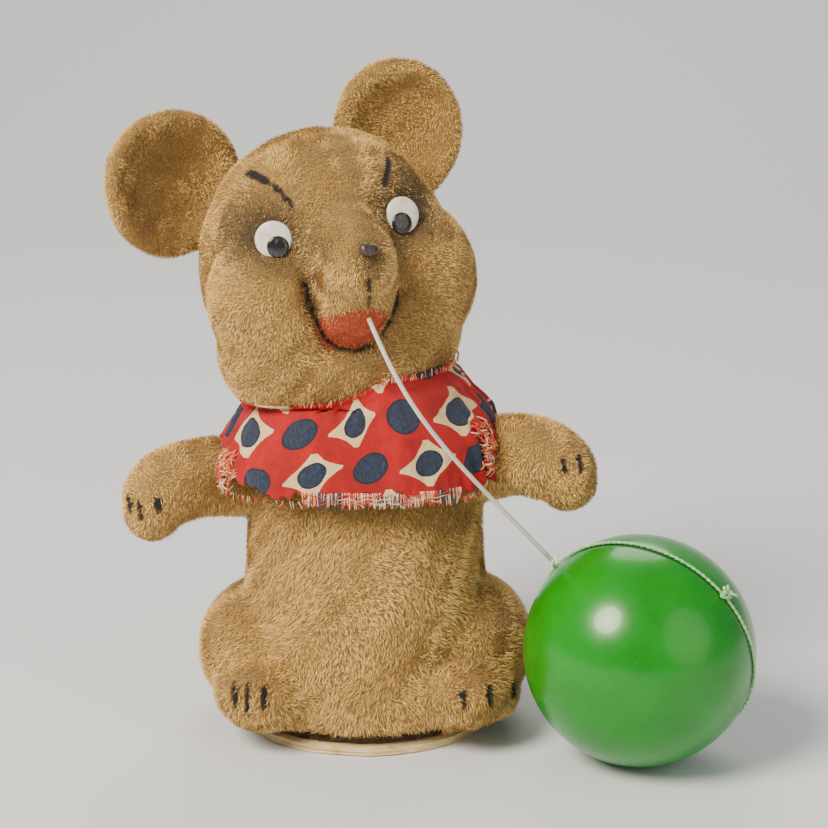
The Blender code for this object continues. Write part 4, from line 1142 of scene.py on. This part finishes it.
def cloth_look():
    """Red cotton printed with rows of cream four-pointed stars and blue spots, by cloth position."""
    look = Look("printed_cotton", (0.5, 0.02, 0.015), Roughness=0.9, Sheen_Weight=0.08, Sheen_Roughness=0.6)
    split = look.node("ShaderNodeSeparateXYZ")
    look.put(split.inputs[0], look.coords("UV"))
    wander = look.noise(60, 2, 0.5)
    u = look.times_plus(split.outputs[0], UV_SCALE, look.times(wander, 0.5))
    v = look.times_plus(split.outputs[1], UV_SCALE, look.times(wander, 0.5))
    row = look.calc("ROUND", look.calc("DIVIDE", look.minus(PRINT_TOP, v), PRINT_ROW))
    y = look.minus(v, look.times_plus(row, -PRINT_ROW, PRINT_TOP))
    slid = look.plus(look.times_plus(row, PRINT_SHIFT, u), 1.6)
    column = look.calc("ROUND", look.calc("DIVIDE", slid, PRINT_COLUMN))
    x = look.times_plus(column, -PRINT_COLUMN, slid)
    odd = look.calc("GREATER_THAN", look.calc("ABSOLUTE", look.calc("MODULO", column, 2.0)), 0.5)
    # stars lean a little, each arm pinched in between its points
    cos, sin = math.cos(math.radians(11)), math.sin(math.radians(11))
    along = look.plus(look.times(x, cos), look.times(y, sin))
    across = look.minus(look.times(y, cos), look.times(x, sin))
    wide_arm = look.calc("POWER", look.calc("ABSOLUTE", along), 0.72)
    tall_arm = look.calc("POWER", look.calc("ABSOLUTE", look.times(across, 1.22)), 0.72)
    arms = look.plus(wide_arm, tall_arm)
    blunt = look.calc("MAXIMUM", look.calc("ABSOLUTE", along), look.calc("ABSOLUTE", across))
    edge = look.times_plus(look.noise(1500, 2, 0.6), 0.5, -0.25)
    star = look.calc("LESS_THAN", look.plus(arms, look.times(edge, 0.4)), 3.95)
    star = look.times(star, look.calc("LESS_THAN", blunt, 5.9))
    star = look.times(star, look.minus(1.0, odd))
    high = look.times(look.times(y, y), 1.25)
    far = look.calc("SQRT", look.times_plus(x, x, high))
    reach = look.times_plus(odd, 0.55, 2.75)
    far = look.plus(far, look.times(edge, 0.5))
    rim = look.calc("LESS_THAN", far, reach)
    spot = look.calc("LESS_THAN", far, look.minus(reach, 0.38))
    fade = look.noise(170, 5, 0.65)
    thread = look.noise(1.0, 3, 0.6, look.coords(scale=(2400, 2400, 900)))
    red = look.ramp(fade, (0.3, (0.30, 0.0, 0.001)), (0.7, (0.55, 0.001, 0.001)))
    cream = look.ramp(fade, (0.3, (0.72, 0.47, 0.20)), (0.7, (0.86, 0.66, 0.37)))
    blue = look.ramp(thread, (0.35, (0.010, 0.017, 0.038)), (0.7, (0.030, 0.045, 0.085)))
    tone = look.mix(star, red, cream)
    tone = look.mix(rim, tone, (0.010, 0.012, 0.03))
    tone = look.mix(spot, tone, blue)
    warp = look.calc("SINE", look.times(u, 15.0))
    weft = look.calc("SINE", look.times(v, 15.0))
    weave = look.times(warp, weft)
    shade = look.times_plus(weave, 0.10, look.times_plus(thread, 0.3, 0.76))
    grey = look.node("ShaderNodeCombineColor")
    for socket in grey.inputs[:3]:
        look.put(socket, shade)
    look.colour(look.mix(1.0, tone, grey.outputs[0], "MULTIPLY"))
    height = look.plus(look.times(weave, 0.5), look.times(thread, 0.8))
    look.bump(height, 0.5, 0.16)
    return look.mat


def build_vest():
    """The cloth as a grid of columns round the neck, open where the arms come through."""
    tops = neck_line()
    ring = [vest_spot(2 * math.pi * i / VEST_COLUMNS, VEST_LEVEL) for i in range(VEST_COLUMNS + 1)]
    steps = [0.0] + [(b - a).length / MM for a, b in zip(ring, ring[1:])]
    run = np.cumsum(steps)
    run -= run[VEST_COLUMNS * 3 // 4]
    half = (run[-1] - run[0]) / 2
    verts = []
    marks = []
    raw = []
    for i in range(VEST_COLUMNS + 1):
        angle = 2 * math.pi * i / VEST_COLUMNS
        u = run[i] if run[i] > -half else run[i] + 2 * half
        top = tops[i % VEST_COLUMNS]
        low = hem_height(angle, run[i], u)
        column = []
        for k in range(VEST_LINES + 1):
            z = low + (top - low) * k / VEST_LINES
            column.append(cloth_point(angle, u, z, top))
            bend = 0.0041 * min(abs(u - 14.0), 33.0) ** 2
            marks.append((vest_row(z)[0] / vest_row(VEST_LEVEL)[0], z + bend))
        verts.append(column)
        raw.append(u)
    flat = [p for column in verts[:-1] for p in column]
    lines = VEST_LINES + 1
    faces = []
    corners = []
    for i in range(VEST_COLUMNS):
        j = (i + 1) % VEST_COLUMNS
        for k in range(VEST_LINES):
            quad = (i * lines + k, j * lines + k, j * lines + k + 1, i * lines + k + 1)
            middle = sum((flat[q] for q in quad), Vector()) / 4 / MM
            if min(limb_distance(middle, ARM_LEFT), limb_distance(middle, ARM_RIGHT)) < 0.5:
                continue
            faces.append(quad)
            for column, row in ((0, k), (1, k), (1, k + 1), (0, k + 1)):
                scale, height = marks[(i + column) * lines + row]
                corners.append(((raw[i] + steps[i + 1] * column) * scale, height))
    ob = mesh_from("vest_print", flat, faces, [cloth_look()])
    layer = ob.data.uv_layers.new(name="cloth")
    layer.data.foreach_set("uv", np.array(corners).ravel() / UV_SCALE)
    bm = bmesh.new()
    bm.from_mesh(ob.data)
    loose = [v for v in bm.verts if not v.link_faces]
    bmesh.ops.delete(bm, geom=loose, context="VERTS")
    bmesh.ops.recalc_face_normals(bm, faces=bm.faces)
    bm.to_mesh(ob.data)
    area = sum(f.calc_area() for f in bm.faces)
    bm.free()
    thick = ob.modifiers.new("thickness", "SOLIDIFY")
    thick.thickness = VEST_THICKNESS * MM
    thick.offset = 0.0
    bpy.context.view_layer.objects.active = ob
    bpy.ops.object.modifier_apply(modifier=thick.name)
    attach(ob, "body")
    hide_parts("vest_cloth")
    return ob, area, tops


THREADS = [
    Look("thread_cream", (0.80, 0.60, 0.38), Roughness=0.85).mat,
    Look("thread_red", (0.62, 0.06, 0.035), Roughness=0.85).mat,
    Look("thread_blue", (0.035, 0.05, 0.10), Roughness=0.85).mat,
    Look("thread_orange", (0.78, 0.20, 0.09), Roughness=0.85).mat,
]


def front_angle(x):
    """The angle on the front of the cloth at a sideways place, in millimetres."""
    half_x, _, square, _ = vest_row(52.0)
    share = max(-1.0, min(1.0, (x - VEST_MID.x / MM) / half_x))
    return -math.acos(math.copysign(abs(share) ** (square / 2), share))


def fringe_colour(x, rng):
    """Which thread the print leaves at each place along the frayed hem."""
    if -8.6 < x < -4.0 or 14.0 < x < 17.4:
        return 2 if rng.random() < 0.7 else 0
    if 2.8 < x < 7.2:
        return 2 if math.sin(x * 7.5) > 0.25 else 0
    return 1 if rng.random() < 0.42 else 0


def build_fringe():
    """Loose warp ends hanging from the front hem, with a few crossing threads still in them."""
    rng = np.random.default_rng(41)
    items = []
    x = -11.5
    while x < 18.6:
        angle = front_angle(x)
        low = 50.9 + rng.uniform(-0.5, 0.8)
        route = []
        sway = rng.uniform(-0.25, 0.25)
        for k in range(5):
            z = FRAY_TOP + (low - FRAY_TOP) * k / 4
            spot = vest_spot(angle, z, 0.30 + 0.12 * math.sin(k * 1.3 + x))
            route.append(spot + Vector((sway * k / 4, 0, 0)) * MM)
        items.append((route, rng.uniform(0.07, 0.12) * MM, fringe_colour(x, rng)))
        x += rng.uniform(0.13, 0.24)
    for z, share in ((53.1, 0.9), (52.4, 0.7), (51.7, 0.8)):
        start = -11.0
        while start < 17.0:
            long = rng.uniform(2.0, 7.0)
            if rng.random() < share:
                route = []
                for k in range(9):
                    here = min(start + long * k / 8, 18.4)
                    wave = 0.12 * math.sin(here * 9) + 0.2 * math.sin(here * 1.7)
                    route.append(vest_spot(front_angle(here), z + wave, 0.42))
                items.append((route, 0.08 * MM, 1 if rng.random() < 0.6 else 0))
            start += long
    return strands("hem_fringe", items, THREADS, "body")


def build_tangles():
    """Loose and bunched threads where the cloth is caught up at each armhole."""
    rng = np.random.default_rng(43)
    items = []
    for angle, heights, count in ((-0.50, (55.0, 64.5), 90), (-2.62, (52.0, 58.5), 70)):
        for _ in range(count):
            a = angle + rng.normal(0, 0.06)
            z = rng.uniform(*heights)
            route = []
            rise = rng.uniform(-1.0, 1.0)
            drift = rng.normal(0, 0.035)
            bulge = rng.uniform(0.3, 1.3)
            size = rng.uniform(1.5, 4.0)
            for k in range(7):
                t = k / 6
                lift = 0.2 + bulge * math.sin(math.pi * t)
                route.append(vest_spot(a + drift * t * 2, z + rise * size * (t - 0.5), lift))
            tone = rng.choice([3, 3, 3, 1, 0])
            items.append((route, rng.uniform(0.10, 0.2) * MM, int(tone)))
    return strands("armhole_threads", items, THREADS, "body")


def build_edge_threads(tops):
    """Short ends standing out of the cloth's cut edges."""
    rng = np.random.default_rng(47)
    items = []
    for _ in range(520):
        i = int(rng.integers(0, VEST_COLUMNS))
        angle = 2 * math.pi * i / VEST_COLUMNS
        top = rng.random() < 0.6
        z = tops[i] - 0.4 if top else HEM_LOW + 0.5
        spot = vest_spot(angle, z) / MM
        if min(limb_distance(spot, ARM_LEFT), limb_distance(spot, ARM_RIGHT)) < 0.2:
            continue
        way = rng.uniform(0.6, 1.4) * (1 if top else -1)
        lean = rng.normal(0, 0.02)
        out = 0.5 if top else 0.2
        route = [vest_spot(angle + lean * t, z + way * t, out + 0.25 * t) for t in (0, 0.35, 0.7, 1.0)]
        items.append((route, rng.uniform(0.06, 0.1) * MM, int(rng.choice([0, 1, 1, 3]))))
    return strands("edge_threads", items, THREADS, "body", 4)


vest, vest_area, vest_tops = build_vest()
trims = [build_fringe(), build_tangles(), build_edge_threads(vest_tops)]


# ---------------------------------------------------------------- ball


def ball_facts():
    """The ball's middle and radius, from the boxes of its two halves."""
    near_low, near_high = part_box("ball_half_near")
    far_low, far_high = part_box("ball_half_far")
    low = Vector([min(a, b) for a, b in zip(near_low, far_low)])
    high = Vector([max(a, b) for a, b in zip(near_high, far_high)])
    return (low + high) / 2, (high.x - low.x) / 2


BALL_MID, BALL_RADIUS = ball_facts()


def plastic_look():
    look = Look("green_plastic", (0.002, 0.25, 0.01), Roughness=0.3, Coat_Weight=0.2, IOR=1.5)
    cloud = look.noise(45, 4, 0.6)
    scuff = look.noise(1.0, 6, 0.75, look.coords(scale=(900, 500, 1300)))
    tone = look.ramp(cloud, (0.3, (0.0, 0.17, 0.001)), (0.7, (0.0, 0.27, 0.003)))
    wear = look.ramp(scuff, (0.64, 0.0), (0.74, 1.0))
    look.colour(look.mix(look.times(wear, 0.25), tone, (0.10, 0.42, 0.12)))
    look.rough(look.times_plus(wear, 0.25, look.times_plus(cloud, 0.14, 0.2)))
    look.bump(look.plus(look.noise(260, 2), look.times(scuff, 0.2)), 0.06, 0.12)
    return look.mat


BALL_WALL = 1.2


def arc(first, last, radius, steps):
    """Points of an arc from one angle to another, as (radius, height)."""
    spots = []
    for k in range(steps + 1):
        a = first + (last - first) * k / steps
        spots.append((radius * math.cos(a), radius * math.sin(a)))
    return spots


def build_ball():
    """Two thin half shells that meet at the seam, each open towards the other."""
    mat = plastic_look()
    radius = BALL_RADIUS / MM
    seat = aimed(BALL_MID, SEAM_NORMAL)
    split = math.asin(SEAM_SHARE)
    for name, side in (("near", -1), ("far", 1)):
        first = split + 0.2 / radius * side
        pole = side * math.pi / 2
        outer = arc(first, pole, radius, 44)
        inner = arc(first, pole, radius - BALL_WALL, 12)
        # a small rounded lip at the join
        outer[0] = (outer[0][0] - 0.12, outer[0][1])
        inner[0] = (outer[0][0] - BALL_WALL, outer[0][1])
        outer[-1] = (0.0, outer[-1][1])
        inner[-1] = (0.0, inner[-1][1])
        ob = lathe(f"ball_skin_{name}", outer[::-1] + inner, mat, seat, 96)
        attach(ob, "ball")
        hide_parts(f"ball_half_{name}")


def seam_route(lift, turns, phase, count=220):
    """A strand that winds gently about the ball's seam."""
    side = SEAM_NORMAL.orthogonal().normalized()
    other = SEAM_NORMAL.cross(side)
    level = SEAM_SHARE * BALL_RADIUS
    reach = math.sqrt(BALL_RADIUS**2 - level**2) + lift * MM
    route = []
    for k in range(count + 1):
        a = 2 * math.pi * k / count
        b = turns * a + phase
        r = reach + 0.17 * MM * math.cos(b)
        h = level + 0.17 * MM * math.sin(b)
        route.append(BALL_MID + (side * math.cos(a) + other * math.sin(a)) * r + SEAM_NORMAL * h)
    return route


def knot_routes(middle, out, size, tails):
    """A small overhand knot with its cut ends."""
    side = SEAM_NORMAL.cross(out).normalized()
    routes = []
    loop = []
    for k in range(61):
        t = 2 * math.pi * k / 60
        x = math.sin(t) + 2 * math.sin(2 * t)
        y = math.cos(t) - 2 * math.cos(2 * t)
        z = -math.sin(3 * t)
        loop.append(middle + (side * x * 0.3 + SEAM_NORMAL * y * 0.3 + out * z * 0.35) * size * MM)
    routes.append(loop)
    for along, across, up, length in tails:
        way = (side * along + SEAM_NORMAL * across + out * up).normalized()
        tail = []
        for k in range(8):
            t = k / 7
            droop = out * math.sin(t * 2.6) * 0.25 * length
            tail.append(middle + (way * length * t + droop) * MM)
        routes.append(tail)
    return routes


def build_thread():
    look = Look("pale_thread", (0.30, 0.62, 0.26), Roughness=0.55, Sheen_Weight=0.2)
    twist = look.noise(1.0, 3, 0.6, look.coords(scale=(1500, 1500, 1500)))
    look.colour(look.ramp(twist, (0.35, (0.16, 0.50, 0.15)), (0.7, (0.50, 0.78, 0.40))))
    look.bump(twist, 0.5, 0.1)
    items = [(seam_route(0.32, 60, p), 0.17 * MM, 0) for p in (0.0, math.pi)]
    ring = strands("seam_thread", items, [look.mat], "ball", 6)
    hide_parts("ball_thread")
    out = seam_point(Vector((0.66, 0.20, 0.55)))
    middle = BALL_MID + out * (BALL_RADIUS + 0.95 * MM)
    tails = [(0.9, 0.5, 0.15, 2.2), (-0.4, -1.0, 0.2, 1.8), (-0.7, 0.8, 0.3, 1.5)]
    items = [(r, 0.27 * MM, 0) for r in knot_routes(middle, out, 1.35, tails)]
    knot = strands("seam_knot", items, [look.mat], "ball", 8)
    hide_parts("ball_knot")
    # where the hanging line is tied to the thread
    end = seam_point(TIE_GUESS)
    middle = BALL_MID + end * (BALL_RADIUS + 1.1 * MM)
    tails = [(0.6, 0.8, 0.2, 1.4), (-0.9, 0.3, 0.4, 1.2)]
    nylon = Look("tie_nylon", (0.75, 0.80, 0.62), Roughness=0.3, IOR=1.5)
    nylon.bump(nylon.noise(1600, 2), 0.2, 0.05)
    items = [(r, 0.24 * MM, 0) for r in knot_routes(middle, end, 1.0, tails)]
    tie = strands("line_tie", items, [nylon.mat], "ball", 8)


build_ball()
build_thread()


# ---------------------------------------------------------------- base


def board_look():
    """Pressed card: cream, layered on its edge, stained and bruised."""
    look = Look("cream_board", (0.72, 0.60, 0.38), Roughness=0.9)
    tones = ((0.30, (0.30, 0.15, 0.05)), (0.44, (0.80, 0.58, 0.28)), (0.7, (0.90, 0.74, 0.44)))
    layers = look.noise(1.0, 4, 0.7, look.coords(scale=(60, 60, 3800)))
    stain = look.noise(130, 6, 0.7)
    dark_layers = look.ramp(layers, (0.4, 0.55), (0.6, 0.0))
    look.colour(look.mix(dark_layers, look.ramp(stain, *tones), (0.34, 0.22, 0.11)))
    look.bump(look.plus(layers, look.times(stain, 0.6)), 0.7, 0.3)
    return look.mat


BASE_COUNT = 220


def edge_nicks():
    """How far the board's edge is bruised in or out at each step round it."""
    rng = np.random.default_rng(53)
    return np.convolve(rng.normal(0, 1, BASE_COUNT + 8), np.hanning(9), "valid")


def build_board():
    low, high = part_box("base_disc")
    radius = (high.x - low.x) / 2 / MM
    thick = (high.z - low.z) / MM
    count = BASE_COUNT
    nick = edge_nicks()
    profile = [
        (0, 0), (0.94, 0), (0.985, 0.08), (1.0, 0.3), (0.992, 0.75), (1.0, 1.1), (0.99, 1.6),
        (0.95, 1.9), (0, 2.0),
    ]
    verts = []
    for share, height in profile:
        for k in range(count):
            a = 2 * math.pi * k / count
            bite = 0.10 * nick[k] * (share > 0.9) + 0.12 * math.sin(5 * a + height * 3) * (share > 0.98)
            r = min(radius * share + bite, radius)
            verts.append(Vector((r * math.cos(a), r * math.sin(a), min(height, thick))) * MM)
    rows = [range(i * count, (i + 1) * count) for i in range(len(profile))]
    base = mesh_from("base_board", verts, loft(rows), [board_look()], smooth=False)
    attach(base, "body")
    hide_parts("base_disc")


def build_torn_edge():
    """Torn paper left in the gap over the board, coloured nearly black as painted shade for the dark inside
    of the crack.
    """
    count = BASE_COUNT
    nick = edge_nicks()
    torn_shade_look = Look("torn_paper_and_shade", (0.05, 0.03, 0.02), Roughness=0.95)
    grime_and_shade = torn_shade_look.noise(420, 5, 0.7)
    # mostly near-black painted shade, with a few pale torn bits of paper
    tones = ((0.4, (0.018, 0.011, 0.008)), (0.62, (0.10, 0.055, 0.025)), (0.75, (0.50, 0.36, 0.20)))
    torn_shade_look.colour(torn_shade_look.ramp(grime_and_shade, *tones))
    torn_shade_look.bump(grime_and_shade, 0.9, 0.4)
    verts = []
    for k in range(count):
        a = 2 * math.pi * k / count
        x, y = math.cos(a), math.sin(a)
        lip = 2.05 + 0.5 * abs(nick[k]) * 0.3
        for share, z in ((0.93, 4.9), (0.945, 3.6), (0.955, lip), (0.925, lip + 0.1), (0.90, 4.6)):
            verts.append(Vector((25.3 * share * x, 24.4 * share * y - 0.3, z)) * MM)
    rows = [range(i, 5 * count, 5) for i in range(5)]
    torn = mesh_from("torn_edge", verts, loft(rows), [torn_shade_look.mat], smooth=False)
    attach(torn, "body")


build_board()
build_torn_edge()


# ---------------------------------------------------------------- motor and neck


def dress_frame():
    """Worn metal, blued spring and moulded parts for every node that shows its own shape."""
    brass = metal_look("worn_brass", (0.72, 0.50, 0.19), (0.34, 0.21, 0.08), 0.34)
    plated = metal_look("plated_steel", (0.56, 0.56, 0.57), (0.27, 0.24, 0.21), 0.36, (60, 1400, 1400))
    turned = metal_look("turned_steel", (0.60, 0.60, 0.62), (0.30, 0.26, 0.22), 0.28, (1400, 60, 1400))
    blued = metal_look("blued_spring", (0.08, 0.11, 0.22), (0.14, 0.08, 0.05), 0.3, (500, 60, 500))
    bush = Look("moulded_nylon", (0.74, 0.71, 0.62), Roughness=0.5)
    bush.colour(bush.ramp(bush.noise(200, 4), (0.35, (0.60, 0.55, 0.44)), (0.7, (0.78, 0.75, 0.66))))
    bush.bump(bush.noise(1800, 3), 0.25, 0.1)
    wood = Look("turned_wood", (0.50, 0.34, 0.18), Roughness=0.7)
    rings = wood.noise(1.0, 4, 0.65, wood.coords(scale=(180, 180, 1600)))
    wood.colour(wood.ramp(rings, (0.35, (0.30, 0.17, 0.08)), (0.7, (0.60, 0.42, 0.24))))
    wood.bump(rings, 0.5, 0.15)
    nylon = Look("stop_nylon", (0.84, 0.82, 0.72), Roughness=0.3)
    nylon.bump(nylon.noise(1500, 2), 0.2, 0.05)
    picks = {
        "toy_brass": brass,
        "mill_steel": turned,
        "spring_steel": blued,
        "white_nylon": bush.mat,
        "plug_wood": wood.mat,
        "clear_line": nylon.mat,
    }
    slots = {row["node"]: row["material_slot"] for row in frame["record"]["subparts"]}
    for name, ob in frame["nodes"].items():
        if ob.hide_render:
            continue
        mat = picks.get(slots.get(name))
        if name.startswith("motor_plate"):
            mat = plated
        if mat is None:
            continue
        ob.data.materials.clear()
        ob.data.materials.append(mat)


dress_frame()


# ---------------------------------------------------------------- stage


def build_stage():
    """A pale floor that curves up behind, and soft warm light from three sides."""
    low = min(cad_low.z, 0.0)
    verts = []
    faces = []
    wide, near, far, tall = 3.0, -2.0, 1.2, 2.4
    profile = [(near, low), (far - 0.6, low)]
    for k in range(1, 13):
        a = math.pi / 2 * k / 12
        profile.append((far - 0.6 + 0.6 * math.sin(a), low + 0.6 - 0.6 * math.cos(a)))
    profile.append((far, tall))
    for y, z in profile:
        verts += [(-wide, y, z), (wide, y, z)]
    for k in range(len(profile) - 1):
        faces.append((2 * k, 2 * k + 1, 2 * k + 3, 2 * k + 2))
    pale = Look("studio_pale", (0.72, 0.74, 0.77), Roughness=0.9).mat
    floor = mesh_from("studio_floor", verts, faces, [pale])
    for name, size, energy, place in (
        ("key_light", 0.5, 19.0, (-0.55, -0.55, 0.75)),
        ("fill_light", 0.9, 2.5, (0.7, -0.6, 0.45)),
        ("back_light", 0.6, 4.0, (0.1, 0.7, 0.8)),
    ):
        data = bpy.data.lights.new(name, "AREA")
        data.shape = "DISK"
        data.color = (1.0, 0.92, 0.78)
        data.size = size
        data.energy = energy
        lamp = bpy.data.objects.new(name, data)
        bpy.context.collection.objects.link(lamp)
        lamp.location = place
        aim = Vector((0, 0, 0.06)) - Vector(place)
        lamp.rotation_euler = aim.to_track_quat("-Z", "Y").to_euler()
    world = bpy.data.worlds.new("studio")
    world.use_nodes = True
    world.node_tree.nodes["Background"].inputs["Color"].default_value = (0.85, 0.9, 1.0, 1.0)
    world.node_tree.nodes["Background"].inputs["Strength"].default_value = 0.36
    bpy.context.scene.world = world


build_stage()
